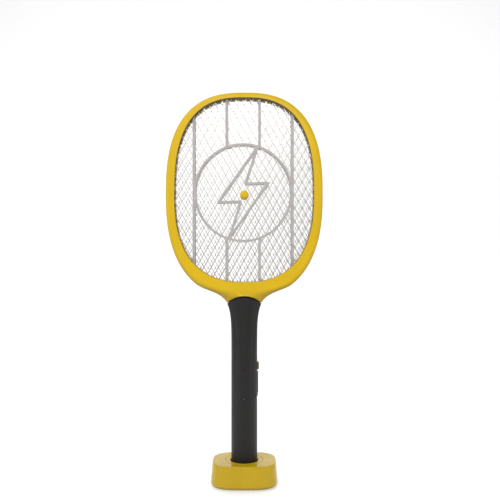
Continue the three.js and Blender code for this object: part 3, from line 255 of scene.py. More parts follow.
# ------------------------------------------------------------------ mesh helpers


def clamp(value):
    """A number held between 0 and 1."""
    return min(1.0, max(0.0, value))


def mix(first, second, share):
    """A number part of the way between two others."""
    return first + (second - first) * share


def smooth(share):
    """A share that starts and ends gently."""
    return share * share * (3 - 2 * share)


def spread(count):
    """Evenly spread shares from 0 to 1, both included."""
    return [i / count for i in range(count + 1)]


def quarter(count):
    """(1 - cos, sin) pairs along a quarter turn."""
    angles = [math.pi / 2 * share for share in spread(count)]
    return [(1 - math.cos(angle), math.sin(angle)) for angle in angles]


def link(name, mesh):
    """A new object of a mesh, in the scene."""
    made = bpy.data.objects.new(name, mesh)
    bpy.context.scene.collection.objects.link(made)
    return made


def build(name, points, faces, crease=35.0):
    """An object of points and faces, with its normals out and smooth shading up to a crease angle."""
    mesh = bpy.data.meshes.new(name)
    mesh.from_pydata([tuple(point) for point in points], [], faces)
    work = bmesh.new()
    work.from_mesh(mesh)
    bmesh.ops.remove_doubles(work, verts=work.verts, dist=1e-7)
    bmesh.ops.recalc_face_normals(work, faces=work.faces)
    work.to_mesh(mesh)
    work.free()
    shade(mesh, crease)
    return link(name, mesh)


def shade(mesh, crease):
    """Smooth shading, with sharp edges above an angle in degrees."""
    mesh.shade_smooth()
    mesh.set_sharp_from_angle(angle=math.radians(crease))


def ring_faces(rows, count, closed):
    """Faces through rows of equal count, each row a loop; closed joins the last row to the first."""
    faces = []
    for row in range(rows if closed else rows - 1):
        following = (row + 1) % rows
        for i in range(count):
            j = (i + 1) % count
            faces.append((row * count + i, row * count + j, following * count + j, following * count + i))
    return faces


def ring_piece(name, loops, crease=35.0):
    """A closed surface through loops, the last joined to the first."""
    points = [point for loop in loops for point in loop]
    return build(name, points, ring_faces(len(loops), len(loops[0]), True), crease)


def stack_piece(name, loops, crease=35.0):
    """A closed surface through a stack of loops, with a flat end at each side."""
    count = len(loops[0])
    points = [point for loop in loops for point in loop]
    faces = ring_faces(len(loops), count, False)
    faces.append(tuple(range(count)))
    last = (len(loops) - 1) * count
    faces.append(tuple(last + i for i in range(count)))
    return build(name, points, faces, crease)


def sheet_piece(name, outer, inner, crease=35.0):
    """A thick sheet between two grids of points with the same rows and columns."""
    rows, columns = len(outer), len(outer[0])
    points = [point for row in outer for point in row] + [point for row in inner for point in row]

    def at(layer, row, column):
        return (layer * rows + row) * columns + column

    faces = []
    for layer in (0, 1):
        for row in range(rows - 1):
            for column in range(columns - 1):
                corners = ((row, column), (row, column + 1), (row + 1, column + 1), (row + 1, column))
                faces.append(tuple(at(layer, *corner) for corner in corners))
    rim = [(0, column) for column in range(columns)]
    rim += [(row, columns - 1) for row in range(1, rows)]
    rim += [(rows - 1, column) for column in range(columns - 2, -1, -1)]
    rim += [(row, 0) for row in range(rows - 2, 0, -1)]
    for start, end in zip(rim, rim[1:] + rim[:1]):
        faces.append((at(0, *start), at(0, *end), at(1, *end), at(1, *start)))
    return build(name, points, faces, crease)


def turned_piece(name, profile, place, axis, sides=64, crease=35.0):
    """A body turned about an axis: profile holds (radius, distance along the axis)."""
    turn = Vector((0, 0, 1)).rotation_difference(Vector(axis)).to_matrix()
    points = []
    rows = []
    for radius, distance in profile:
        if radius < 1e-9:
            rows.append([len(points)])
            points.append(Vector(place) + turn @ Vector((0, 0, distance)))
            continue
        rows.append(list(range(len(points), len(points) + sides)))
        for i in range(sides):
            angle = 2 * math.pi * i / sides
            spot = Vector((radius * math.cos(angle), radius * math.sin(angle), distance))
            points.append(Vector(place) + turn @ spot)
    faces = []
    closed = profile[0][0] >= 1e-9
    pairs = list(zip(rows, rows[1:] + rows[:1])) if closed else list(zip(rows, rows[1:]))
    for first, second in pairs:
        faces += band_faces(first, second, sides)
    return build(name, points, faces, crease)


def band_faces(first, second, sides):
    """Faces between two rows of a turned body; a row of one point is its tip."""
    faces = []
    for i in range(sides):
        j = (i + 1) % sides
        corners = [row[k % len(row)] for row, k in ((first, i), (first, j), (second, j), (second, i))]
        faces.append(tuple(dict.fromkeys(corners)))
    return [face for face in faces if len(face) > 2]


def box_piece(name, low, high):
    """A plain box, used as a cutter or as the start of a bevelled part."""
    corners = [(x, y, z) for x in (low[0], high[0]) for y in (low[1], high[1]) for z in (low[2], high[2])]
    faces = [(0, 1, 3, 2), (4, 6, 7, 5), (0, 4, 5, 1), (2, 3, 7, 6), (0, 2, 6, 4), (1, 5, 7, 3)]
    return build(name, corners, faces)


def plate_piece(name, outline, front, back):
    """A flat plate of an outline of (x, z) pairs, from y = front to y = back."""
    loops = [[(x, y, z) for x, z in outline] for y in (front, back)]
    return stack_piece(name, loops)


def combine(piece, other, operation):
    """Joins or cuts a piece with another, which is used up."""
    modifier = piece.modifiers.new("combine", "BOOLEAN")
    modifier.operation = operation
    modifier.solver = "EXACT"
    modifier.object = other
    apply_modifiers(piece)
    used = other.data
    bpy.data.objects.remove(other)
    bpy.data.meshes.remove(used)


def apply_modifiers(piece, crease=35.0):
    """Turns what a piece's modifiers make into its own mesh."""
    graph = bpy.context.evaluated_depsgraph_get()
    mesh = bpy.data.meshes.new_from_object(piece.evaluated_get(graph))
    piece.modifiers.clear()
    old = piece.data
    piece.data = mesh
    bpy.data.meshes.remove(old)
    shade(mesh, crease)


def bevel(piece, width, segments=2, angle=35.0):
    """Rounds the edges sharper than an angle."""
    modifier = piece.modifiers.new("edges", "BEVEL")
    modifier.width = width
    modifier.segments = segments
    modifier.limit_method = "ANGLE"
    modifier.angle_limit = math.radians(angle)
    modifier.harden_normals = True


def bore(piece, place, axis, radius, depth):
    """Drills a round hole from a place along an axis."""
    profile = [(0, 0), (radius, 0), (radius, depth), (0, depth)]
    combine(piece, turned_piece("hole", profile, place, axis, 32), "DIFFERENCE")


def finish_piece(piece, material, slot, body, *nodes):
    """Gives a piece its material and body, and hides the frame nodes it stands for. The slot is not used."""
    piece.data.materials.clear()
    piece.data.materials.append(material)
    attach(piece, body)
    if nodes:
        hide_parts(*nodes)
    return piece


def paint_node(node, material):
    """Gives a frame node that stays in view a material."""
    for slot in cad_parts[node].material_slots:
        slot.material = material


# ------------------------------------------------------------------ outlines


def oval_point(angle, half_width, top_reach, bottom_reach, top_power, bottom_power):
    """(x, z) of a squared oval about the head's centre, in the direction of an angle from the top."""
    s, c = math.sin(angle), math.cos(angle)
    power = top_power if c > 0 else bottom_power
    reach = top_reach if c > 0 else bottom_reach
    total = (abs(s) / half_width) ** power + (abs(c) / reach) ** power
    radius = total ** (-1 / power)
    return radius * s, HEAD_Z + radius * c


def head_point(angle, inset=0.0):
    """(x, z) of the head's outline, drawn in by an inset."""
    head = settings("head")
    return oval_point(
        angle,
        head.half_width - inset,
        head.top_reach - inset,
        head.bottom_reach - inset,
        head.top_power,
        head.bottom_power,
    )


def opening_point(angle, outset=0.0):
    """(x, z) of the outline of the opening, grown by an outset."""
    head = settings("head")
    return oval_point(
        angle,
        head.half_width - head.side_band + outset,
        head.top_reach - head.top_band + outset,
        head.bottom_reach - head.bottom_band + outset,
        head.opening_top_power,
        head.opening_bottom_power,
    )


def shoulder_z():
    """Height of the shoulders of the handle."""
    return SEAT_Z + settings("handle").length


def arch_height(x, above=0.0):
    """Height of the handle's domed top at x, or of an arch a little above it."""
    handle = settings("handle")
    half, rise = handle.shoulder_half_width, handle.crown_rise
    radius = (half**2 + rise**2) / (2 * rise)
    centre = shoulder_z() + rise - radius
    return centre + math.sqrt(max(0.0, (radius + above) ** 2 - x * x))


def lip_height(x, wall):
    """Height of the neck's lower edge, which arches over the handle."""
    head = settings("head")
    half = settings("handle").shoulder_half_width
    crown = head.seam_crown * max(0.0, 1 - (x / half) ** 2)
    return arch_height(x, head.seam + crown + wall)


def handle_size(height):
    """Half width and half depth of the handle at a height above its end."""
    handle = settings("handle")
    t = clamp((height - handle.flare_start) / (handle.length - handle.flare_start))
    beyond = max(0.0, height - handle.length)
    widening = (handle.shoulder_half_width - handle.radius) * t**handle.flare_power
    thinning = (handle.radius - handle.shoulder_half_depth) * smooth(t)
    return handle.radius + widening + beyond / 2, handle.radius - thinning


# ------------------------------------------------------------------ head shells

SIDE_STEPS = 96
NECK_STEPS = 34
ARCH_STEPS = 16
ROUND_STEPS = 10
LIP_GAP = 0.0009  # from a guard's middle plane to the end of the frame's lip
RIDGE_GAP = 0.0004  # between the two ridges of the rounded neck and its middle line
TONGUE_LENGTH = 0.02  # below the handle's shoulders
TONGUE_RISE = 0.0036  # above the handle's domed top
TONGUE_WALL = 0.002
HEAD_SCREWS = 6
HEAD_SCREW_SEAT = 0.0099
HEAD_SCREW_HOLE = 0.0024


def neck_curve():
    """Point and direction along the curve from the head's outline to the shoulder, by share."""
    head = settings("head")
    join = math.radians(head.join_angle)
    start = Vector(head_point(join))
    run = (start - Vector(head_point(join - 0.01))).normalized()
    half = settings("handle").shoulder_half_width
    end = Vector((half, lip_height(half, 0.0)))
    lean = Vector((head.lower_lean, 1)).normalized()
    upper = start + run * head.upper_pull
    lower = end + lean * head.lower_pull

    def at(t):
        u = 1 - t
        point = start * u**3 + upper * (3 * u * u * t) + lower * (3 * u * t * t) + end * t**3
        along = (upper - start) * (3 * u * u) + (lower - upper) * (6 * u * t) + (end - lower) * (3 * t * t)
        return point, along.normalized()

    return at


def half_outline():
    """Right half of the frame's outline as (x, z, outward x, outward z, share into the neck)."""
    join = math.radians(settings("head").join_angle)
    points = []
    for i in range(SIDE_STEPS):
        angle = join * i / SIDE_STEPS
        x, z = head_point(angle)
        along = Vector(head_point(angle + 0.01)) - Vector(head_point(angle - 0.01))
        along.normalize()
        points.append((x, z, -along.y, along.x, 0.0))
    curve = neck_curve()
    for i in range(NECK_STEPS):
        point, along = curve(i / NECK_STEPS)
        points.append((point.x, point.y, -along.y, along.x, smooth(i / NECK_STEPS)))
    return points


def mirrored(half):
    """A right half loop with its left half; its first and last points lie on the middle line."""
    left = [(-point[0], *point[1:]) for point in half[-2:0:-1]]
    return half + left


def edge_width(x, z, out_x, out_z, into):
    """Width of the rounded side of the frame, which leaves room for the flat band at the opening."""
    head = settings("head")
    wanted = mix(head.edge_round, settings("handle").shoulder_half_width - RIDGE_GAP, into)
    if into == 0:
        return wanted
    away = math.hypot(x, z - HEAD_Z)
    beyond = away - opening_radius(math.atan2(x, z - HEAD_Z))
    facing = max(0.2, (out_x * x + out_z * (z - HEAD_Z)) / away)
    room = (beyond - head.flat_band - head.band_softness) / facing
    return (wanted**-6 + room**-6) ** (-1 / 6)


def edge_depth(into, depth):
    """Depth of the rounded side of the frame."""
    return mix(settings("head").edge_round, depth - 0.001, into)


def face_depth(x, z):
    """Depth of the face over the middle plane; it slopes back below the flat band."""
    return banded_depth(math.hypot(x, z - HEAD_Z) - opening_radius(math.atan2(x, z - HEAD_Z)))


def banded_depth(distance):
    """Depth of the face at a distance beyond the opening."""
    head = settings("head")
    past, soft = distance - head.flat_band, head.band_softness
    if past <= -soft:
        return head.half_depth
    run = past if past > soft else (past + soft) ** 2 / (4 * soft)
    return head.half_depth - run * head.neck_slope


def opening_radius(angle):
    """From the head's centre to the edge of the opening."""
    x, z = opening_point(angle)
    return math.hypot(x, z - HEAD_Z)


def frame_loop(side, turn_in, wall):
    """Loop of the frame's surface; turn_in runs from 0 at the side to 1 where the face is flat."""
    half = []
    for x, z, out_x, out_z, into in half_outline():
        inset = wall + (edge_width(x, z, out_x, out_z, into) - wall) * turn_in
        half.append((x - out_x * inset, z - out_z * inset, into))
    corner = settings("handle").shoulder_half_width
    corner -= wall + (corner - RIDGE_GAP - wall) * turn_in
    for share in spread(ARCH_STEPS):
        x = corner * (1 - share)
        half.append((x, lip_height(x, wall), 1.0))
    loop = []
    for x, z, into in mirrored(half):
        depth = face_depth(x, z) - wall
        drop = (edge_depth(into, depth + wall) - wall) * (1 - math.sqrt(1 - (1 - turn_in) ** 2))
        loop.append((x, side * max(FIT / 2, depth - drop), z))
    return loop


def opening_angles():
    """Angles of the opening's points, one for each point of frame_loop."""
    join = math.radians(settings("head").join_angle)
    rest = NECK_STEPS + ARCH_STEPS
    half = [join * i / SIDE_STEPS for i in range(SIDE_STEPS)]
    half += [mix(join, math.pi, i / rest) for i in range(rest + 1)]
    return half + [-angle for angle in half[-2:0:-1]]


def opening_loop(outset, depth_at):
    """Loop round the opening; depth_at gives y at (x, z)."""
    loop = []
    for angle in opening_angles():
        x, z = opening_point(angle, outset)
        loop.append((x, depth_at(x, z), z))
    return loop


def face_stops(reach):
    """Distances beyond the opening of the rows across the face, from the outside in."""
    head = settings("head")
    start = min(head.flat_band - head.band_softness, reach * 0.5)
    end = min(head.flat_band + head.band_softness, reach * 0.75)
    stops = [mix(reach, end, share) for share in spread(9)[1:]]
    stops += [mix(end, start, share) for share in spread(5)[1:]]
    return stops + [mix(start, head.lip_round, share) for share in spread(5)[1:-1]]


def face_rows(side, ridge):
    """Loops across the flat face, from the ridge of the rounded side in to the opening."""
    lip = settings("head").lip_round
    columns = []
    for (x, _, z), edge_angle in zip(ridge, opening_angles()):
        angle = math.atan2(x, z - HEAD_Z)
        reach = math.hypot(x, z - HEAD_Z) - opening_radius(angle)
        column = []
        for distance in face_stops(reach):
            way = mix(edge_angle, angle, (distance - lip) / (reach - lip))
            radius = opening_radius(way) + distance
            depth = side * banded_depth(distance)
            column.append((radius * math.sin(way), depth, HEAD_Z + radius * math.cos(way)))
        columns.append(column)
    return [list(row) for row in zip(*columns)]


def head_shell(name, side):
    """One half of the head frame with its neck; side -1 is the front, +1 the rear."""
    head = settings("head")
    lip_end = lip_depth()
    soft = head.lip_round
    outer = [frame_loop(side, 1 - math.cos(math.pi / 2 * share), 0.0) for share in spread(ROUND_STEPS)]
    inner = [frame_loop(side, turn_in, head.wall) for turn_in in (1.0, 0.6, 0.25, 0.0)]
    rounding = []
    for back, sine in quarter(4):
        rounding.append(
            opening_loop(soft * (1 - sine), lambda x, z, back=back: side * (face_depth(x, z) - soft * back))
        )
    loops = [
        flattened(outer[0], side * FIT / 2),
        *outer,
        *face_rows(side, outer[-1]),
        *rounding,
        opening_loop(0.0, lambda x, z: side * (lip_end + 0.0004)),
        opening_loop(0.0004, lambda x, z: side * lip_end),
        opening_loop(head.lip_wall, lambda x, z: side * lip_end),
        opening_loop(head.lip_wall, lambda x, z: side * (face_depth(x, z) - head.wall)),
        *inner,
        flattened(inner[-1], side * FIT / 2),
    ]
    return ring_piece(name, loops, 32)


def flattened(loop, y):
    """A loop moved to one y."""
    return [(x, y, z) for x, _, z in loop]


def lip_depth():
    """Where the lip of the frame ends over the middle plane."""
    return settings("grid").spacing + LIP_GAP


def screw_spots():
    """Places of the head's six screws, from the frame."""
    return [middle(f"head_screw_{number}") for number in range(1, HEAD_SCREWS + 1)]


def tongue_piece():
    """The hollow tongue that reaches from the neck down into the handle."""
    handle = settings("handle")
    low, high = handle.length - TONGUE_LENGTH, handle.length + handle.crown_rise + TONGUE_RISE
    loops = []
    for outset, order in ((handle.wall + FIT, 1), (handle.wall + FIT + TONGUE_WALL, -1)):
        heights = [mix(low, high, share) for share in spread(8)][::order]
        for height in heights:
            loops.append(handle_loop(height, outset))
    return ring_piece("neck_tongue", loops)


def handle_loop(height, inset, count=96):
    """Full loop round the handle's section at a height."""
    half_width, half_depth = handle_size(height)
    loop = []
    for i in range(count):
        angle = 2 * math.pi * i / count
        x = (half_width - inset) * math.cos(angle)
        y = (half_depth - inset) * math.sin(angle)
        loop.append((x, y, SEAT_Z + height))
    return loop


def paint_wall(shell, material):
    """Gives the wall of the opening the painted-shade material."""
    shell.data.materials.append(material)
    for face in shell.data.polygons:
        x, _, z = face.center
        beyond = math.hypot(x, z - HEAD_Z) - opening_radius(math.atan2(x, z - HEAD_Z))
        if abs(face.normal.y) < 0.3 and abs(beyond) < 0.0005:
            face.material_index = 1


class SWATTER_OT_head_frame(bpy.types.Operator):
    """Make the two shells of the head frame with the neck"""

    bl_idname = "swatter.head_frame"
    bl_label = "Head Frame"

    def execute(self, context):
        finish = settings("finish")
        yellow = yellow_plastic("head_yellow", finish.head_yellow, 0.34, 0.0)
        shade_side = shaded_wall("opening_wall", finish.wall_painted_shade, finish.head_yellow)
        front = head_shell("head_shell_front", -1)
        finish_piece(front, yellow, "yellow_shell", "swatter", "front_frame")
        paint_wall(front, shade_side)
        bevel(front, 0.0006, 3, 50)
        rear = head_shell("head_shell_rear", 1)
        for spot in screw_spots():
            bore(rear, (spot.x, HEAD_SCREW_SEAT, spot.z), (0, 1, 0), HEAD_SCREW_HOLE, 0.006)
        finish_piece(rear, yellow, "yellow_shell", "swatter", "rear_frame")
        paint_wall(rear, shade_side)
        bevel(rear, 0.00035, 2, 50)
        # Painted shadow: the tongue belongs to the yellow frame but is made black, so the gap under the
        # neck's lip looks dark.
        tongue = tongue_piece()
        black = soft_black("tongue_shadow_black", finish.grip_black, 0.6)
        finish_piece(tongue, black, "black_grip", "swatter", "front_frame", "rear_frame")
        return {"FINISHED"}


# ------------------------------------------------------------------ grids


def cell_faces(points, faces, x, z, strand):
    """Adds one diamond cell: the metal between its outline and its hole."""
    grid = settings("grid")
    w, h = grid.cell_width / 2, grid.cell_height / 2
    slant = math.hypot(w, h)
    trim = 1 - strand / 2 * slant / (w * h)
    corners = [(w, 0), (0, h), (-w, 0), (0, -h)]
    first = len(points)
    for cx, cz in corners:
        points.append((x + cx, z + cz))
    fill = grid.node_fill / slant
    for i, (cx, cz) in enumerate(corners):
        before, after = corners[i - 1], corners[(i + 1) % 4]
        for nx, nz in (before, after):
            points.append((x + trim * mix(cx, nx, fill), z + trim * mix(cz, nz, fill)))
    for i in range(4):
        j = (i + 1) % 4
        corner, following = first + i, first + j
        hole_before, hole_after = first + 4 + 2 * i, first + 5 + 2 * i
        next_before = first + 4 + 2 * j
        faces.append((corner, hole_before, hole_after))
        faces.append((corner, hole_after, next_before, following))


def mesh_sheet(name, y, shift, strand):
    """A grid's flat mesh of diamonds, cut off along the opening's rim."""
    grid, head = settings("grid"), settings("head")
    points, faces = [], []
    w, h = grid.cell_width / 2, grid.cell_height / 2
    columns = math.ceil(head.half_width / w)
    rows = math.ceil(head.top_reach / h)
    for i in range(-columns, columns + 1):
        for j in range(-rows, rows + 1):
            x, z = i * w + shift[0], HEAD_Z + j * h + shift[1]
            if (i + j) % 2 and inside_opening(x, z, 2 * h):
                cell_faces(points, faces, x, z, strand)
    mesh = bpy.data.meshes.new(name)
    mesh.from_pydata([(x, y, z) for x, z in points], [], faces)
    work = bmesh.new()
    work.from_mesh(mesh)
    bmesh.ops.remove_doubles(work, verts=work.verts, dist=1e-5)
    trim_to_opening(work, grid.rim - 0.0004)
    bmesh.ops.recalc_face_normals(work, faces=work.faces)
    work.to_mesh(mesh)
    work.free()
    sheet = link(name, mesh)
    solid = sheet.modifiers.new("thickness", "SOLIDIFY")
    solid.thickness = grid.sheet
    solid.offset = 0
    return sheet


def inside_opening(x, z, margin):
    """True within a margin of the opening."""
    edge_x, edge_z = opening_point(math.atan2(x, z - HEAD_Z), margin)
    return math.hypot(x, z - HEAD_Z) < math.hypot(edge_x, edge_z - HEAD_Z)


def trim_to_opening(work, outset):
    """Cuts a flat mesh off outside the opening's outline."""
    sides = 72
    for i in range(sides):
        angle = 2 * math.pi * (i + 0.5) / sides
        spot = Vector(opening_point(angle, outset))
        along = Vector(opening_point(angle + 0.01, outset)) - Vector(opening_point(angle - 0.01, outset))
        out = Vector((-along.y, 0, along.x))
        bmesh.ops.bisect_plane(
            work,
            geom=work.verts[:] + work.edges[:] + work.faces[:],
            plane_co=(spot.x, 0, spot.y),
            plane_no=out,
            clear_outer=True,
        )


def rim_ring(name, y, thickness, near, far):
    """Flat ring round the opening between two outsets."""
    half = thickness / 2
    corners = [(near, y - half), (far, y - half), (far, y + half), (near, y + half)]
    loops = [opening_loop(outset, lambda x, z, depth=depth: depth) for outset, depth in corners]
    return ring_piece(name, loops)


def rib_point(x, z):
    """(x, z) of a point given from the centre of the ribs."""
    grid = settings("grid")
    return grid.rib_shift + x, HEAD_Z + grid.rib_rise + z


def circle_points(radius, count=128):
    """(x, z) points of a circle about the centre of the ribs."""
    angles = [2 * math.pi * i / count for i in range(count)]
    return [rib_point(radius * math.cos(angle), radius * math.sin(angle)) for angle in angles]


def ring_plate(front, back):
    """The round rib as a flat ring."""
    grid = settings("grid")
    half = grid.ring_width / 2
    loops = []
    for way, y in ((1, front), (1, back), (-1, back), (-1, front)):
        loops.append([(x, y, z) for x, z in circle_points(grid.ring_radius + way * half)])
    return ring_piece("ring", loops)


def stroke_outline(start, end):
    """Outline of a straight rib between two points of the ring's plane, with pointed ends."""
    half = settings("grid").stroke_width / 2
    start, end = Vector(start), Vector(end)
    along = (end - start).normalized()
    across = Vector((-along.y, along.x)) * half
    tip = along * half
    corners = [start - across, end - across, end + tip, end + across, start + across, start - tip]
    return [rib_point(*corner) for corner in corners]


def bolt_strokes():
    """Ends of the strokes of the lightning bolt, which looks the same turned half round."""
    radius = settings("grid").ring_radius
    tip, elbow, notch = (0.29, 0.94), (-0.52, -0.2), (-0.05, -0.185)  # shares of the ring's radius
    half = [(x * radius, z * radius) for x, z in (tip, elbow, notch)]
    corners = half + [(-x, -z) for x, z in half]
    return list(zip(corners, corners[1:] + corners[:1]))


def upright_bar(number):
    """Outlines of the stretches of one upright rib; the inner ones stop at the ring."""
    grid = settings("grid")
    across = (number - (grid.rib_count - 1) / 2) * grid.rib_spacing
    x, middle_z = rib_point(across, 0)
    half = grid.bar_width / 2
    top = edge_height(x, 1) - 0.0001
    bottom = edge_height(x, -1) + 0.0001
    if abs(across) > grid.ring_radius:
        return [bar_outline(x, half, bottom, top)]
    cut = math.sqrt(grid.ring_radius**2 - across**2)
    return [bar_outline(x, half, middle_z + cut, top), bar_outline(x, half, bottom, middle_z - cut)]


def bar_outline(x, half, low, high):
    """Outline of an upright bar."""
    return [(x - half, low), (x + half, low), (x + half, high), (x - half, high)]


def edge_height(x, way):
    """Height where an upright at x meets the rim of the opening, above (1) or below (-1)."""
    low, high = (0.0, math.pi / 2) if way > 0 else (math.pi, math.pi / 2)
    for _ in range(40):
        angle = (low + high) / 2
        if opening_point(angle, 0.001)[0] < abs(x):
            low = angle
        else:
            high = angle
    return opening_point(low, 0.001)[1]


def rib_frame(name, side):
    """Bars, ring and bolt of one guard, moulded in one piece."""
    grid = settings("grid")
    face = grid.spacing + grid.sheet / 2
    near, far = face - 0.0004, face + grid.rib_height
    front, back = (-far, -near) if side < 0 else (near, far)
    ribs = ring_plate(front, back)
    for number in range(grid.rib_count):
        for outline in upright_bar(number):
            combine(ribs, plate_piece("bar", outline, front, back), "UNION")
    for start, end in bolt_strokes():
        combine(ribs, plate_piece("stroke", stroke_outline(start, end), front, back), "UNION")
    ribs.name = name
    return ribs


def dome(radius, height, edge, steps=10):
    """Profile of a low dome with a rounded edge, from its middle down to its rim."""
    profile = []
    for share in spread(steps):
        angle = math.pi / 2 * share
        profile.append((radius * math.sin(angle), edge + (height - edge) * math.cos(angle) ** 0.7))
    profile.append((radius, 0))
    return profile


class SWATTER_OT_grids(bpy.types.Operator):
    """Make the two guard grids and the live grid between them"""

    bl_idname = "swatter.grids"
    bl_label = "Grids"

    def execute(self, context):
        grid, finish = settings("grid"), settings("finish")
        guard = coated_metal("guard_coat", finish.guard_grey, 0.36, 0.85)
        bright = coated_metal("live_metal", finish.live_metal, 0.32, 0.9)
        half = grid.cell_width / 2
        rows = [
            ("front_guard_mesh", -1, (0.0, 0.0), guard, "guard_grid", "front_guard_grid"),
            ("live_mesh", 0, (half + 0.0003, -0.0006), bright, "live_wire", "live_grid"),
            ("rear_guard_mesh", 1, (-0.0008, 0.0007), guard, "guard_grid", "rear_guard_grid"),
        ]
        for name, side, shift, material, slot, node in rows:
            y = side * grid.spacing
            sheet = mesh_sheet(name, y, shift, grid.strand if side else grid.live_strand)
            finish_piece(sheet, material, slot, "swatter", node)
            rim = rim_ring(name + "_rim", y, grid.sheet + 0.0003, grid.rim - 0.0022, grid.rim)
            finish_piece(rim, material, slot, "swatter", node)
        return {"FINISHED"}


class SWATTER_OT_ribs(bpy.types.Operator):
    """Make the ribs on both guards: upright bars, ring and lightning bolt"""

    bl_idname = "swatter.ribs"
    bl_label = "Ribs"

    def execute(self, context):
        finish, grid = settings("finish"), settings("grid")
        grey = coated_metal("rib_coat", finish.rib_grey, 0.5, 0.0)
        for name, side, node in (("front_ribs", -1, "front_guard_grid"), ("rear_ribs", 1, "rear_guard_grid")):
            ribs = rib_frame(name, side)
            finish_piece(ribs, grey, "guard_grid", "swatter", node)
            bevel(ribs, grid.rib_edge, 3, 50)
        return {"FINISHED"}


class SWATTER_OT_studs(bpy.types.Operator):
    """Make the centre studs, the bushes and the insulating rings between the grids"""

    bl_idname = "swatter.studs"
    bl_label = "Studs"

    def execute(self, context):
        grid, finish = settings("grid"), settings("finish")
        yellow = yellow_plastic("stud_yellow", finish.head_yellow, 0.34, 0.0)
        face = lip_depth()
        for name, side, node in (("stud_front", -1, "front_stud"), ("stud_rear", 1, "rear_stud")):
            reach = -face if side < 0 else -0.001
            profile = dome(grid.stud_radius, grid.stud_height, 0.0012)
            profile += [(0.002, 0), (0.002, reach), (0, reach)]
            stud = turned_piece(name, profile, (0, side * face, HEAD_Z), (0, side, 0), 48)
            finish_piece(stud, yellow, "yellow_shell", "swatter", node)
        white = moulded("insulator_white", (0.78, 0.76, 0.7), 0.5, 0.15)
        for node, side in (("front_bush", -1), ("rear_bush", 1)):
            low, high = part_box(node)
            profile = [(0.0023, 0), (0.0036, 0), (0.0036, high.y - low.y), (0.0023, high.y - low.y)]
            bush = turned_piece(node + "_ring", profile, (0, low.y, HEAD_Z), (0, 1, 0), 40)
            finish_piece(bush, white, "white_insulator", "swatter", node)
            bevel(bush, 0.0002)
        # The spacer rings get the painted-shade material, dark at the top and sides, so the inside of the
        # opening looks shaded.
        dark = shaded_wall("spacer_shade", finish.wall_painted_shade, finish.head_yellow)
        for node in ("front_spacer", "rear_spacer"):
            low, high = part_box(node)
            ring = rim_ring(node + "_ring", (low.y + high.y) / 2, high.y - low.y, 0.0004, grid.rim)
            finish_piece(ring, dark, "dark_component", "swatter", node)
        return {"FINISHED"}


# ------------------------------------------------------------------ handle

GRIP_SEAM = 0.00004  # between the two shells of the handle
GRIP_SCREW_SEAT = 0.0088
GRIP_SCREW_HOLE = 0.0026
LAMP_FIT = 0.00025
CONTACT_RADIUS = 0.003
PIN_RADIUS = 0.0013
HANDLE_ROWS = 64
HANDLE_COLUMNS = 72


def column_top(angle, inset):
    """Height above the handle's end where the domed top cuts a column of its surface."""
    height = settings("handle").length
    for _ in range(8):
        x = (handle_size(height)[0] - inset) * math.cos(angle)
        height = arch_height(x) - SEAT_Z
    return height


def handle_sheet(side, inset):
    """Grid of points of one half of the handle's surface, from its bottom up to the domed top."""
    handle = settings("handle")
    bottom = handle.cap_height + FIT
    rows = []
    for k in range(HANDLE_ROWS + 1):
        share = 1 - (1 - k / HANDLE_ROWS) ** 1.6
        row = []
        for i in range(HANDLE_COLUMNS + 1):
            angle = math.pi * i / HANDLE_COLUMNS
            height = mix(bottom, column_top(angle, inset), share)
            half_width, half_depth = handle_size(height)
            x = (half_width - inset) * math.cos(angle)
            y = side * max(GRIP_SEAM / 2, (half_depth - inset) * math.sin(angle))
            row.append((x, y, SEAT_Z + height))
        rows.append(row)
    return rows


def window_cutter():
    """Box of the switch surround's window in the handle."""
    switch, handle = settings("switch"), settings("handle")
    reach = switch.surround_half_width + FIT
    low = (handle.radius / 2, -reach, SEAT_Z + switch.surround_bottom - FIT)
    high = (handle.radius * 2, reach, SEAT_Z + switch.surround_top + FIT)
    return box_piece("window", low, high)


class SWATTER_OT_handle(bpy.types.Operator):
    """Make the two shells of the handle and its end cap"""

    bl_idname = "swatter.handle"
    bl_label = "Handle"

    def execute(self, context):
        handle, switch = settings("handle"), settings("switch")
        black = soft_black("grip_black", settings("finish").grip_black, 0.46)
        shells = []
        sides = (("grip_shell_front", -1, "front_handle_shell"), ("grip_shell_rear", 1, "rear_handle_shell"))
        for name, side, node in sides:
            shell = sheet_piece(name, handle_sheet(side, 0.0), handle_sheet(side, handle.wall))
            combine(shell, window_cutter(), "DIFFERENCE")
            shells.append((shell, node))
        front, rear = shells[0][0], shells[1][0]
        for height in (switch.upper_lamp, switch.lower_lamp):
            bore(front, (0, 0, SEAT_Z + height), (0, -1, 0), switch.lamp_radius + LAMP_FIT, 0.03)
        for node in ("handle_screw_1", "handle_screw_2"):
            bore(rear, (0, GRIP_SCREW_SEAT, middle(node).z), (0, 1, 0), GRIP_SCREW_HOLE, 0.02)
        for shell, node in shells:
            finish_piece(shell, black, "black_grip", "swatter", node)
            bevel(shell, 0.0003, 2, 50)
        cap = turned_piece("grip_end_cap", self.cap_profile(), (0, 0, SEAT_Z), (0, 0, 1), 96)
        for node in ("contact_left", "contact_right"):
            place = (middle(node).x, 0, SEAT_Z - 0.001)
            bore(cap, place, (0, 0, 1), CONTACT_RADIUS + FIT, 0.0031)
        finish_piece(cap, black, "black_grip", "swatter", "handle_end_cap")
        return {"FINISHED"}

    def cap_profile(self):
        """Profile of the end cap with its rounded lower edge."""
        handle = settings("handle")
        edge = 0.0012
        profile = [(0, 0)]
        for sine, rise in [(math.sin(a), 1 - math.cos(a)) for a in (0, 0.4, 0.8, 1.2, math.pi / 2)]:
            profile.append((handle.radius - edge + edge * sine, edge * rise))
        inner = handle.radius - handle.wall - FIT
        profile += [(handle.radius, handle.cap_height), (inner, handle.cap_height)]
        profile += [(inner, handle.cap_height + 0.008), (inner - 0.002, handle.cap_height + 0.008)]
        profile += [(inner - 0.002, handle.cap_height), (0, handle.cap_height)]
        return profile


# ------------------------------------------------------------------ switches and lamps

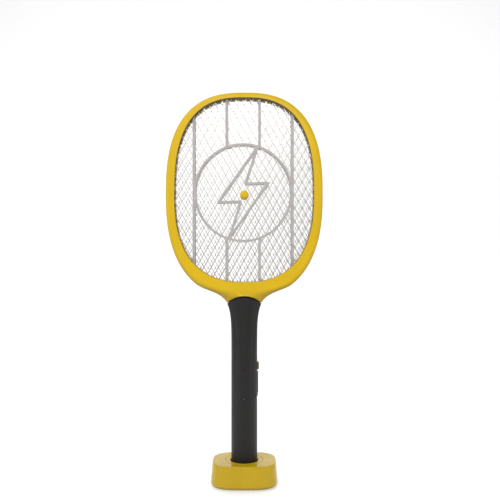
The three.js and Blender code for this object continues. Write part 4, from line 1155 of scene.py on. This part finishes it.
KNOB_NECK = 0.002  # half width of the knob's neck
KNOB_NECK_RISE = 0.0015  # half its height
KNOB_TRAVEL = 0.004
PLATE_THICKNESS = 0.0026


def side_patch(half_width, heights, radius_at, columns=16):
    """Grid of points on the switch side: radius_at gives the radius at (height, share across)."""
    rows = []
    for height in heights:
        row = []
        for share in spread(columns):
            across = 2 * share - 1
            y = half_width * across
            radius = radius_at(height, across)
            row.append((math.sqrt(max(1e-9, radius**2 - y * y)), y, SEAT_Z + height))
        rows.append(row)
    return rows


def patch_piece(name, half_width, heights, outside, inside):
    """A thick curved plate on the switch side between two surfaces."""
    faces = [side_patch(half_width, heights, radius_at) for radius_at in (outside, inside)]
    return sheet_piece(name, *faces, 40)


def surround_piece():
    """Plate round the switches, bevelled at both ends, with a sunk middle."""
    switch, handle = settings("switch"), settings("handle")
    bottom, top = switch.surround_bottom, switch.surround_top
    bevel_length = 0.004

    def outside(height, across):
        rise = smooth(clamp(min(height - bottom, top - height) / bevel_length))
        sunk = clamp((height - bottom - 0.0055) / 0.001) * clamp((top - height - 0.0012) / 0.001)
        return handle.radius + mix(switch.surround_stand, switch.surround_floor, smooth(sunk)) * rise

    def inside(height, across):
        return handle.radius + switch.surround_stand - PLATE_THICKNESS

    heights = [mix(bottom, top, share) for share in spread(108)]
    half = switch.surround_half_width
    plate = patch_piece("switch_plate", half, heights, outside, inside)
    button_top = switch.button_bottom + switch.button_height
    centre = switch.knob_bottom + switch.knob_height / 2
    openings = [
        (switch.button_half_width + SLIDE, switch.button_bottom - SLIDE, button_top + SLIDE),
        (KNOB_NECK + FIT, centre - KNOB_NECK_RISE - FIT, centre + KNOB_NECK_RISE + KNOB_TRAVEL + FIT),
    ]
    for half, low, high in openings:
        cutter = box_piece("gap", (0.005, -half, SEAT_Z + low), (0.03, half, SEAT_Z + high))
        combine(plate, cutter, "DIFFERENCE")
    return plate


def button_piece():
    """Long press button with a crowned face."""
    switch, handle = settings("switch"), settings("handle")
    bottom, size = switch.button_bottom, switch.button_height
    back = handle.radius + switch.surround_stand - PLATE_THICKNESS - FIT - 0.0016

    def outside(height, across):
        share = (height - bottom) / size
        ends = smooth(clamp(min(share, 1 - share) * size / 0.0014))
        return handle.radius + switch.button_stand * mix(0.6, 1.0, ends) - 0.0002 * across**2

    def inside(height, across):
        return back

    heights = [mix(bottom, bottom + size, share) for share in spread(56)]
    half = switch.button_half_width
    return patch_piece("press_button_cap", half, heights, outside, inside)


def knob_piece():
    """Thumb knob: steep below, sloping away above, with cross ribs, and its neck through the slot."""
    switch, handle = settings("switch"), settings("handle")
    bottom, size = switch.knob_bottom, switch.knob_height
    under = handle.radius + switch.surround_floor + FIT

    def outside(height, across):
        share = (height - bottom) / size
        upper, lower = clamp((share - 0.72) / 0.28), clamp((0.1 - share) / 0.1)
        ends = math.sqrt(1 - upper**2) * math.sqrt(1 - lower**2)
        rib = 0.00012 * math.cos(share * 2 * math.pi * 6)
        return handle.radius + mix(0.0015, switch.knob_stand - 0.0002, ends) + rib - 0.0003 * across**2

    def inside(height, across):
        return under

    heights = [mix(bottom, bottom + size, share) for share in spread(80)]
    half = switch.knob_half_width
    knob = patch_piece("thumb_knob", half, heights, outside, inside)
    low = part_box("slide_knob")[0]
    centre = SEAT_Z + bottom + size / 2
    near = (low.x, -KNOB_NECK, centre - KNOB_NECK_RISE)
    far = (under + 0.0004, KNOB_NECK, centre + KNOB_NECK_RISE)
    neck = box_piece("neck", near, far)
    combine(knob, neck, "UNION")
    return knob


class SWATTER_OT_switches(bpy.types.Operator):
    """Make the switch surround, the press button and the slide knob"""

    bl_idname = "swatter.switches"
    bl_label = "Switches"

    def execute(self, context):
        finish = settings("finish")
        black = soft_black("surround_black", finish.grip_black, 0.38)
        # Painted shade: the knob and the button are yellow plastic made darker.
        knob_yellow = yellow_plastic("knob_painted_shade", finish.knob_painted_shade, 0.36, 0.0)
        button_yellow = yellow_plastic("button_painted_shade", finish.button_painted_shade, 0.36, 0.0)
        plate = surround_piece()
        finish_piece(plate, black, "black_grip", "swatter", "switch_surround")
        bevel(plate, 0.00025, 2, 50)
        button = button_piece()
        finish_piece(button, button_yellow, "yellow_shell", "button", "press_button")
        bevel(button, 0.0005, 3, 50)
        knob = knob_piece()
        finish_piece(knob, knob_yellow, "yellow_shell", "knob", "slide_knob")
        bevel(knob, 0.0004, 3, 50)
        return {"FINISHED"}


class SWATTER_OT_lamps(bpy.types.Operator):
    """Make the two indicator lamps"""

    bl_idname = "swatter.lamps"
    bl_label = "Lamps"

    def execute(self, context):
        finish, switch = settings("finish"), settings("switch")
        rows = [
            ("lamp_lens_red", "red_lamp", lens("lens_red", finish.lens_red, 0.35), "red_lens"),
            ("lamp_lens_clear", "green_lamp", lens("lens_clear", finish.lens_clear, 0.3), "clear_lens"),
        ]
        for name, node, material, slot in rows:
            low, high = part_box(node)
            reach = high.y - low.y
            radius = switch.lamp_radius
            flange, crown = 0.0021, 0.0011
            profile = [(0, 0), (flange, 0), (flange, 0.001), (radius, 0.001)]
            for rise, sine in quarter(6):
                profile.append((radius * (1 - rise), reach - crown * (1 - sine)))
            profile[-1] = (0, reach)
            lamp = turned_piece(name, profile, (0, high.y, middle(node).z), (0, -1, 0), 40)
            finish_piece(lamp, material, slot, "swatter", node)
        return {"FINISHED"}


# ------------------------------------------------------------------ base

BASE_COUNT = 192


def footprint(z, inset, half_width, half_depth):
    """Loop of the base's footprint at a height, drawn in by an inset."""
    power = settings("base").power
    loop = []
    for i in range(BASE_COUNT):
        angle = 2 * math.pi * i / BASE_COUNT
        s, c = math.sin(angle), math.cos(angle)
        a, b = half_width - inset, half_depth - inset
        radius = ((abs(c) / a) ** power + (abs(s) / b) ** power) ** (-1 / power)
        loop.append((radius * c, radius * s, z))
    return loop


def side_loop(z, inset):
    """Loop of the base's side at a height."""
    base = settings("base")
    t = clamp((z - FLOOR_GAP) / (BASE_TOP - FLOOR_GAP))
    half_width = mix(base.bottom_half_width, base.top_half_width, t)
    half_depth = mix(base.bottom_half_depth, base.top_half_depth, t)
    return footprint(z, inset, half_width, half_depth)


def round_loop(radius, z):
    """Loop of a circle with as many points as the footprint."""
    angles = [2 * math.pi * i / BASE_COUNT for i in range(BASE_COUNT)]
    return [(radius * math.cos(angle), radius * math.sin(angle), z) for angle in angles]


def base_shell():
    """The base's shell, open below, with a seat for the collar in its top."""
    base = settings("base")
    seat = BASE_TOP - base.collar_thickness - FIT
    edge = base.collar_edge
    hole = base.collar_radius + FIT
    sleeve = settings("handle").radius + base.gap + base.sleeve_wall + FIT
    loops = [side_loop(FLOOR_GAP, base.bottom_round + base.wall)]
    for rise, sine in quarter(10):
        loops.append(side_loop(FLOOR_GAP + base.bottom_round * rise, base.bottom_round * (1 - sine)))
    straight = (FLOOR_GAP + base.bottom_round, BASE_TOP - base.top_round)
    loops += [side_loop(mix(*straight, share), 0.0) for share in (0.25, 0.5, 0.75)]
    for rise, sine in quarter(7):
        loops.append(side_loop(BASE_TOP - base.top_round * (1 - sine), base.top_round * rise))
    for share in (0.25, 0.5, 0.75):
        flat = zip(side_loop(BASE_TOP, base.top_round), round_loop(hole + edge, BASE_TOP))
        loops.append([tuple(mix(a, b, share) for a, b in zip(p, q)) for p, q in flat])
    for rise, sine in quarter(4):
        loops.append(round_loop(hole + edge * (1 - sine), BASE_TOP - edge * rise))
    loops += [
        round_loop(hole, seat),
        round_loop(sleeve, seat),
        round_loop(sleeve, seat - base.wall),
        side_loop(seat - base.wall, base.wall + 0.001),
        side_loop(FLOOR_GAP + base.bottom_round, base.wall),
    ]
    return ring_piece("base_housing", loops, 40)


def collar_piece():
    """The collar insert: flange, bevelled mouth, sleeve and the dock's floor."""
    base, handle = settings("base"), settings("handle")
    inner = handle.radius + base.gap
    outer = inner + base.sleeve_wall
    floor = SEAT_Z - FIT
    edge = base.collar_edge
    top = BASE_TOP
    profile = [(0, floor - 0.0016), (outer, floor - 0.0016), (outer, top - base.collar_thickness)]
    profile += [(base.collar_radius, top - base.collar_thickness)]
    for rise, sine in quarter(4):
        profile.append((base.collar_radius - edge * rise, top - edge * (1 - sine)))
    bevel_size = base.mouth_bevel
    profile += [(inner + bevel_size + 0.0002, top), (inner + bevel_size - 0.0002, top - 0.0002)]
    profile += [(inner + 0.0002, top - bevel_size), (inner, top - bevel_size - 0.0003)]
    profile += [(inner, floor), (0, floor)]
    collar = turned_piece("dock_collar", profile, (0, 0, 0), (0, 0, 1), 128, 50)
    for node in ("contact_pin_left", "contact_pin_right"):
        bore(collar, (middle(node).x, 0, floor - 0.01), (0, 0, 1), PIN_RADIUS + 0.0005, 0.02)
    return collar


class SWATTER_OT_base(bpy.types.Operator):
    """Make the base: housing, collar, feet and contact pins"""

    bl_idname = "swatter.base"
    bl_label = "Base"

    def execute(self, context):
        finish, base = settings("finish"), settings("base")
        yellow = yellow_plastic("base_yellow", finish.base_yellow, 0.24, 0.08)
        housing = base_shell()
        low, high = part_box("charging_inlet")
        room = Vector((FIT, 0.01, FIT))
        combine(housing, box_piece("window", low - room, high + room), "DIFFERENCE")
        finish_piece(housing, yellow, "yellow_shell", "base", "base_shell")
        collar = collar_piece()
        finish_piece(collar, yellow, "yellow_shell", "base", "base_collar")
        rubber = rubber_material("foot_rubber", finish.rubber)
        for number in range(1, 5):
            low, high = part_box(f"foot_{number}")
            radius, height = base.foot_radius, high.z - low.z
            profile = [(0, 0), (radius - 0.0004, 0), (radius, 0.0002), (radius, height), (0, height)]
            place = ((low.x + high.x) / 2, (low.y + high.y) / 2, low.z)
            foot = turned_piece(f"foot_pad_{number}", profile, place, (0, 0, 1), 48)
            finish_piece(foot, rubber, "foot_rubber", "base", f"foot_{number}")
        self.pins(metal("contact_brass", finish.brass, 0.28))
        return {"FINISHED"}

    def pins(self, brass):
        """Contact pins, their barrels and the contacts they press on."""
        for way in ("left", "right"):
            low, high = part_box(f"contact_pin_{way}")
            x, radius, reach = (low.x + high.x) / 2, PIN_RADIUS, high.z - low.z
            tip = 0.0012
            profile = [(0, 0), (radius, 0), (radius, reach - tip)]
            profile += [(radius * math.cos(a), reach - tip + tip * math.sin(a)) for a in (0.4, 0.8, 1.2)]
            profile.append((0, reach))
            pin = turned_piece(f"spring_pin_{way}", profile, (x, 0, low.z), (0, 0, 1), 32)
            finish_piece(pin, brass, "contact_brass", f"{way}_pin", f"contact_pin_{way}")
            low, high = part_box(f"contact_{way}")
            reach = high.z - low.z
            wide, stem, thick, edge = CONTACT_RADIUS, 0.001, 0.0005, 0.0002
            profile = [(0, 0), (wide - edge, 0), (wide, edge), (wide, thick)]
            profile += [(stem, thick), (stem, reach), (0, reach)]
            disc = turned_piece(f"contact_disc_{way}", profile, (x, 0, low.z), (0, 0, 1), 40)
            finish_piece(disc, brass, "contact_brass", "swatter", f"contact_{way}")


# ------------------------------------------------------------------ screws and inner parts


def screw_piece(name, node, axis, size):
    """Pan-head screw with a cross recess, in place of a frame node; size is (head radius, height)."""
    low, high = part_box(node)
    head_radius, head_height = size
    shank = head_radius * 0.45
    way = Vector(axis)
    reach = abs((high - low).dot(way))
    place = (low + high) / 2 + way * (reach / 2)
    profile = [(0, 0)]
    for rise, sine in quarter(6):
        profile.append((head_radius * (0.55 + 0.45 * sine), -head_height * 0.75 * rise))
    profile += [(head_radius, -head_height), (shank, -head_height), (shank, 0.0008 - reach), (0, -reach)]
    screw = turned_piece(name, profile, place, axis, 40)
    turn = Vector((0, 0, 1)).rotation_difference(way).to_matrix().to_4x4()
    for angle in (0.4, 0.4 + math.pi / 2):
        half, thin = head_radius * 0.62, head_radius * 0.12
        blade = box_piece("blade", (-half, -thin, -head_height * 0.6), (half, thin, 0.001))
        blade.data.transform(Matrix.Translation(place) @ turn @ Matrix.Rotation(angle, 4, "Z"))
        combine(screw, blade, "DIFFERENCE")
    return screw


class SWATTER_OT_screws(bpy.types.Operator):
    """Make the screws of the head, the handle and the base"""

    bl_idname = "swatter.screws"
    bl_label = "Screws"

    def execute(self, context):
        steel = metal("screw_steel", settings("finish").steel, 0.3)
        rows = [
            ("head", "head", HEAD_SCREWS, (0, 1, 0), (0.002, 0.0015), "swatter"),
            ("grip", "handle", 2, (0, 1, 0), (0.0022, 0.0016), "swatter"),
            ("base", "base", 4, (0, 0, -1), (0.0024, 0.0015), "base"),
        ]
        for place, part, count, axis, size, body in rows:
            for number in range(1, count + 1):
                node = f"{part}_screw_{number}"
                screw = screw_piece(f"{place}_fixing_{number}", node, axis, size)
                finish_piece(screw, steel, "screw_steel", body, node)
        return {"FINISHED"}


class SWATTER_OT_inner_parts(bpy.types.Operator):
    """Give the parts inside the handle and the base their materials"""

    bl_idname = "swatter.inner_parts"
    bl_label = "Inner Parts"

    def execute(self, context):
        finish = settings("finish")
        steel = metal("plate_steel", finish.steel, 0.35)
        brass = metal("barrel_brass", finish.brass, 0.32)
        board = board_material("board_green")
        dark = moulded("component_black", (0.02, 0.02, 0.022), 0.4, 0.2)
        red = moulded("component_red", (0.5, 0.03, 0.02), 0.35, 0.2)
        white = moulded("bobbin_white", (0.75, 0.73, 0.68), 0.5, 0.15)
        sleeve = moulded("cell_blue", (0.03, 0.16, 0.42), 0.3, 0.1)
        plate = yellow_plastic("plate_yellow", finish.base_yellow, 0.45, 0.0)
        rows = [
            (plate, ["base_bottom_plate"]),
            (steel, ["slide_switch", "charging_inlet", "base_weight_left", "base_weight_right"]),
            (brass, ["pin_barrel_left", "pin_barrel_right"]),
            (board, ["main_board", "charging_board"]),
            (dark, ["press_switch", "rectifier_diode"]),
            (red, ["press_switch_plunger", "storage_capacitor", "live_lead"]),
            (white, ["battery_cradle", "step_up_transformer", "front_guard_lead", "rear_guard_lead"]),
            (sleeve, ["battery_cell"]),
        ]
        for material, nodes in rows:
            for node in nodes:
                paint_node(node, material)
                soften(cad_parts[node])
        return {"FINISHED"}


def soften(node):
    """Rounds the sharp edges of a frame node that stays in view."""
    modifier = node.modifiers.new("edges", "BEVEL")
    modifier.width = 0.0002
    modifier.segments = 2
    modifier.limit_method = "ANGLE"
    modifier.angle_limit = math.radians(50)


# ------------------------------------------------------------------ materials


class Surface:
    """A material being made: its node tree, its shader and the object's own coordinates."""

    def __init__(self, name, roughness, metallic=0.0):
        self.material = bpy.data.materials.new(name)
        self.material.use_nodes = True
        self.tree = self.material.node_tree
        self.shader = self.tree.nodes["Principled BSDF"]
        self.roughness = roughness
        self.set("Roughness", roughness)
        self.set("Metallic", metallic)
        self.place = self.tree.nodes.new("ShaderNodeTexCoord").outputs["Object"]

    def noise(self, scale, detail=2.0, stretch=None):
        """Noise value at a scale; stretch scales each axis."""
        node = self.tree.nodes.new("ShaderNodeTexNoise")
        node.inputs["Scale"].default_value = scale
        node.inputs["Detail"].default_value = detail
        place = self.place
        if stretch:
            mapping = self.tree.nodes.new("ShaderNodeMapping")
            mapping.inputs["Scale"].default_value = stretch
            self.tree.links.new(place, mapping.inputs["Vector"])
            place = mapping.outputs["Vector"]
        self.tree.links.new(place, node.inputs["Vector"])
        return node.outputs["Fac"]

    def ranged(self, value, from_low, from_high, low, high):
        """A value moved from one range to another."""
        node = self.tree.nodes.new("ShaderNodeMapRange")
        limits = {"From Min": from_low, "From Max": from_high, "To Min": low, "To Max": high}
        for name, setting in limits.items():
            node.inputs[name].default_value = setting
        self.tree.links.new(value, node.inputs["Value"])
        return node.outputs["Result"]

    def blend(self, share, first, second):
        """Colour between two by a share; each is a socket or a plain colour."""
        node = self.tree.nodes.new("ShaderNodeMix")
        node.data_type = "RGBA"
        self.tree.links.new(share, node.inputs["Factor"])
        for socket, value in ((node.inputs[6], first), (node.inputs[7], second)):
            if isinstance(value, bpy.types.NodeSocket):
                self.tree.links.new(value, socket)
            else:
                socket.default_value = (*value[:3], 1.0)
        return node.outputs[2]

    def mottled(self, hue, scale, detail, dark, light, low=0.3, high=0.7):
        """Colour that varies between two tones of a hue."""
        share = self.ranged(self.noise(scale, detail), low, high, 0.0, 1.0)
        return self.blend(share, toned(hue, dark), toned(hue, light))

    def vary_gloss(self, down, up, *noise):
        """Roughness that varies round its own value, by a noise."""
        low, high = self.roughness - down, self.roughness + up
        self.set("Roughness", self.ranged(self.noise(*noise), 0.3, 0.7, low, high))

    def edge_wear_and_highlight(self):
        """1 on outer edges and 0 elsewhere; the materials lighten these edges, partly as wear and partly as
        painted highlight.
        """
        node = self.tree.nodes.new("ShaderNodeNewGeometry")
        return self.ranged(node.outputs["Pointiness"], 0.52, 0.6, 0.0, 1.0)

    def facing(self, start, end):
        """Share from 0 to 1 as the upward part of a face's direction goes from start to end."""
        split = self.tree.nodes.new("ShaderNodeSeparateXYZ")
        normal = self.tree.nodes.new("ShaderNodeNewGeometry").outputs["Normal"]
        self.tree.links.new(normal, split.inputs["Vector"])
        return self.ranged(split.outputs["Z"], start, end, 0.0, 1.0)

    def set(self, name, value):
        """Sets or links one of the shader's inputs."""
        if isinstance(value, bpy.types.NodeSocket):
            self.tree.links.new(value, self.shader.inputs[name])
        else:
            self.shader.inputs[name].default_value = value

    def bump(self, layers):
        """Bump from (height, strength, distance) layers, one on another."""
        normal = None
        for height, strength, distance in layers:
            node = self.tree.nodes.new("ShaderNodeBump")
            node.inputs["Strength"].default_value = strength
            node.inputs["Distance"].default_value = distance
            self.tree.links.new(height, node.inputs["Height"])
            if normal is not None:
                self.tree.links.new(normal, node.inputs["Normal"])
            normal = node.outputs["Normal"]
        self.tree.links.new(normal, self.shader.inputs["Normal"])


def toned(shade_of, factor):
    """A colour made lighter or darker."""
    return tuple(min(1.0, value * factor) for value in shade_of[:3])


def yellow_plastic(name, hue, roughness, coat):
    """Moulded yellow plastic: slight mottling, fine grain, soft sink marks, paler edges that are partly wear
    and partly painted highlight, and painted shade on faces that point down.
    """
    surface = Surface(name, roughness)
    body = surface.mottled(hue, 22, 4, 0.94, 1.05)
    wear = surface.ranged(surface.noise(260, 3), 0.55, 0.75, 0.0, 0.5)
    worn = surface.blend(wear, body, toned(hue, 1.06))
    # Paler outer edges: partly wear, partly a painted highlight where light catches the rounded edges.
    edges = surface.blend(surface.edge_wear_and_highlight(), worn, toned(hue, 1.3))
    # Painted shade: faces that point down are darkened towards 0.4 of the hue, as if lit from above.
    surface.set("Base Color", surface.blend(surface.facing(0.0, -0.9), edges, toned(hue, 0.4)))
    surface.set("Specular IOR Level", 0.3)
    surface.vary_gloss(0.05, 0.07, 140, 5, (1.0, 1.0, 0.25))
    surface.set("Coat Weight", coat)
    surface.set("Coat Roughness", 0.12)
    surface.set("Subsurface Weight", 0.04)
    surface.set("Subsurface Radius", (0.004, 0.0025, 0.001))
    surface.bump([(surface.noise(35, 1), 0.25, 0.0006), (surface.noise(2600, 2), 0.08, 0.00008)])
    return surface.material


def shaded_wall(name, shade_hue, hue):
    """Wall of the opening: in deep shade at the top and sides, lit at the bottom."""
    surface = Surface(name, 0.5)
    deep = surface.mottled(shade_hue, 60, 3, 0.85, 1.15)
    surface.set("Base Color", surface.blend(surface.facing(0.1, 0.9), deep, hue))
    surface.set("Specular IOR Level", 0.15)
    surface.bump([(surface.noise(1500, 2), 0.1, 0.00006)])
    return surface.material


def soft_black(name, hue, roughness):
    """Satin black plastic with a fine spark-eroded grain."""
    surface = Surface(name, roughness)
    body = surface.mottled(hue, 30, 4, 0.85, 1.15)
    surface.set("Base Color", surface.blend(surface.edge_wear_and_highlight(), body, toned(hue, 2.2)))
    surface.set("Specular IOR Level", 0.36)
    surface.vary_gloss(0.06, 0.08, 90, 5, (1.0, 1.0, 0.3))
    surface.bump([(surface.noise(1900, 3), 0.35, 0.0001), (surface.noise(40, 1), 0.2, 0.0005)])
    return surface.material


def coated_metal(name, hue, roughness, metallic):
    """Coated or bright metal strip with small variations along it."""
    surface = Surface(name, roughness, metallic)
    surface.set("Base Color", surface.mottled(hue, 180, 3, 0.9, 1.06))
    surface.vary_gloss(0.08, 0.1, 420, 3)
    surface.bump([(surface.noise(1500, 3), 0.2, 0.00006)])
    return surface.material


def metal(name, hue, roughness):
    """Turned or stamped metal with fine marks."""
    surface = Surface(name, roughness, 1.0)
    surface.set("Base Color", surface.mottled(hue, 300, 4, 1.0, 0.78, 0.35))
    surface.vary_gloss(0.08, 0.14, 700, 3)
    surface.bump([(surface.noise(2200, 2, (1.0, 1.0, 0.15)), 0.2, 0.00005)])
    return surface.material


def moulded(name, hue, roughness, variation):
    """Plain moulded plastic for inner parts."""
    surface = Surface(name, roughness)
    surface.set("Base Color", surface.mottled(hue, 150, 3, 1 - variation, 1 + variation))
    surface.bump([(surface.noise(1500, 2), 0.15, 0.00006)])
    return surface.material


def rubber_material(name, hue):
    """Matt rubber with a dusty grain."""
    surface = Surface(name, 0.78)
    surface.set("Base Color", surface.mottled(hue, 400, 4, 1.0, 2.0, 0.5, 0.8))
    surface.bump([(surface.noise(1200, 3), 0.4, 0.0001)])
    return surface.material


def board_material(name):
    """Circuit board with faint copper runs under green lacquer."""
    surface = Surface(name, 0.35)
    waves = surface.tree.nodes.new("ShaderNodeTexWave")
    waves.inputs["Scale"].default_value = 120
    waves.inputs["Distortion"].default_value = 6
    surface.tree.links.new(surface.place, waves.inputs["Vector"])
    runs = surface.ranged(waves.outputs["Fac"], 0.55, 0.65, 0.0, 1.0)
    surface.set("Base Color", surface.blend(runs, (0.01, 0.12, 0.03), (0.03, 0.22, 0.06)))
    surface.bump([(waves.outputs["Fac"], 0.2, 0.0001)])
    return surface.material


def lens(name, hue, share):
    """Tinted glossy lens that lets some light in."""
    surface = Surface(name, 0.12)
    surface.set("Base Color", surface.mottled(hue, 500, 2, 0.85, 1.1))
    surface.set("Transmission Weight", share)
    surface.set("IOR", 1.5)
    surface.bump([(surface.noise(900, 2), 0.05, 0.00005)])
    return surface.material


# ------------------------------------------------------------------ stage


def area_light(name, place, target, size, power, tint=(1, 1, 1)):
    """A soft square light turned towards a point."""
    data = bpy.data.lights.new(name, "AREA")
    data.shape = "RECTANGLE"
    data.size, data.size_y = size
    data.energy = power
    data.color = tint
    light = bpy.data.objects.new(name, data)
    light.location = place
    light.rotation_euler = (Vector(target) - Vector(place)).to_track_quat("-Z", "Y").to_euler()
    bpy.context.scene.collection.objects.link(light)


def floor_sheet():
    """Pale floor that sweeps up behind the object."""
    width, front, back, bend, height = 4.0, -3.0, 2.4, 0.9, 3.2
    profile = [(front, 0.0), (back - bend, 0.0)]
    for rise, sine in quarter(16):
        profile.append((back - bend + bend * sine, bend * rise))
    profile.append((back, height))
    points = [(x, y, z) for y, z in profile for x in (-width, width)]
    faces = [(2 * i, 2 * i + 1, 2 * i + 3, 2 * i + 2) for i in range(len(profile) - 1)]
    mesh = bpy.data.meshes.new("floor")
    mesh.from_pydata(points, [], faces)
    mesh.shade_smooth()
    return link("floor", mesh)


class SWATTER_OT_stage(bpy.types.Operator):
    """Make the floor, the lights and the camera"""

    bl_idname = "swatter.stage"
    bl_label = "Stage"

    def execute(self, context):
        stage = settings("stage")
        scene = context.scene
        scene.view_settings.view_transform = "Standard"
        floor = floor_sheet()
        surface = Surface("floor_white", 0.6)
        surface.set("Base Color", surface.mottled((stage.floor_tone,) * 3, 3, 2, 1.0, 1.02))
        surface.set("Specular IOR Level", 0.1)
        surface.set("Emission Color", (1, 1, 1, 1))
        surface.set("Emission Strength", stage.floor_glow)
        floor.data.materials.append(surface.material)
        world = bpy.data.worlds.new("studio")
        world.use_nodes = True
        background = world.node_tree.nodes["Background"]
        background.inputs["Color"].default_value = (1, 1, 1, 1)
        background.inputs["Strength"].default_value = stage.surround_light
        scene.world = world
        aim = (0, 0, 0.28)
        area_light("key", (-0.5, -1.0, 1.5), aim, (1.2, 1.0), stage.key_light)
        area_light("side", (-1.2, -0.8, 0.35), (0, 0, 0.2), (0.5, 1.2), stage.side_light)
        area_light("strip", (0.8, -0.45, 0.35), (0, 0, 0.25), (0.12, 1.0), stage.strip_light)
        area_light("front", (0, -1.5, 0.86), (0, 0, 0.49), (0.2, 0.28), stage.front_light)
        area_light("back", (0, 0.9, 1.6), (0, 1.2, 0.2), (2.5, 1.2), stage.back_light)
        data = bpy.data.cameras.new("camera")
        data.lens = stage.lens
        data.sensor_width = 36.0
        camera = bpy.data.objects.new("camera", data)
        camera.location = (stage.camera_x, -stage.camera_distance, stage.camera_height)
        camera.rotation_euler = (math.pi / 2, 0, 0)
        scene.collection.objects.link(camera)
        scene.camera = camera
        return {"FINISHED"}


# ------------------------------------------------------------------ panel and registration

OPERATORS = (
    SWATTER_OT_stage,
    SWATTER_OT_head_frame,
    SWATTER_OT_grids,
    SWATTER_OT_ribs,
    SWATTER_OT_studs,
    SWATTER_OT_handle,
    SWATTER_OT_switches,
    SWATTER_OT_lamps,
    SWATTER_OT_base,
    SWATTER_OT_screws,
    SWATTER_OT_inner_parts,
)

GROUPS = {
    "head": HeadSettings,
    "grid": GridSettings,
    "handle": HandleSettings,
    "switch": SwitchSettings,
    "base": BaseSettings,
    "finish": FinishSettings,
    "stage": StageSettings,
}


class SWATTER_PT_panel(bpy.types.Panel):
    """Panel that lists the pieces and their settings"""

    bl_idname = "SWATTER_PT_panel"
    bl_label = "Electric Fly Swatter"
    bl_space_type = "VIEW_3D"
    bl_region_type = "UI"
    bl_category = "Swatter"

    def draw(self, context):
        for operator in OPERATORS:
            self.layout.operator(operator.bl_idname)
        for name, group in GROUPS.items():
            box = self.layout.box()
            box.label(text=name.capitalize())
            for entry in group.__annotations__:
                box.prop(settings(name), entry)


def register():
    """Registers the settings, operators and panel."""
    for name, group in GROUPS.items():
        bpy.utils.register_class(group)
        setattr(bpy.types.Scene, "swatter_" + name, PointerProperty(type=group))
    for entry in (*OPERATORS, SWATTER_PT_panel):
        bpy.utils.register_class(entry)


def unregister():
    """Removes them again."""
    for entry in (SWATTER_PT_panel, *reversed(OPERATORS)):
        bpy.utils.unregister_class(entry)
    for name, group in reversed(GROUPS.items()):
        delattr(bpy.types.Scene, "swatter_" + name)
        bpy.utils.unregister_class(group)


def main():
    """Makes the whole object."""
    register()
    for operator in OPERATORS:
        group, name = operator.bl_idname.split(".")
        getattr(getattr(bpy.ops, group), name)()


if __name__ == "__main__":
    main()
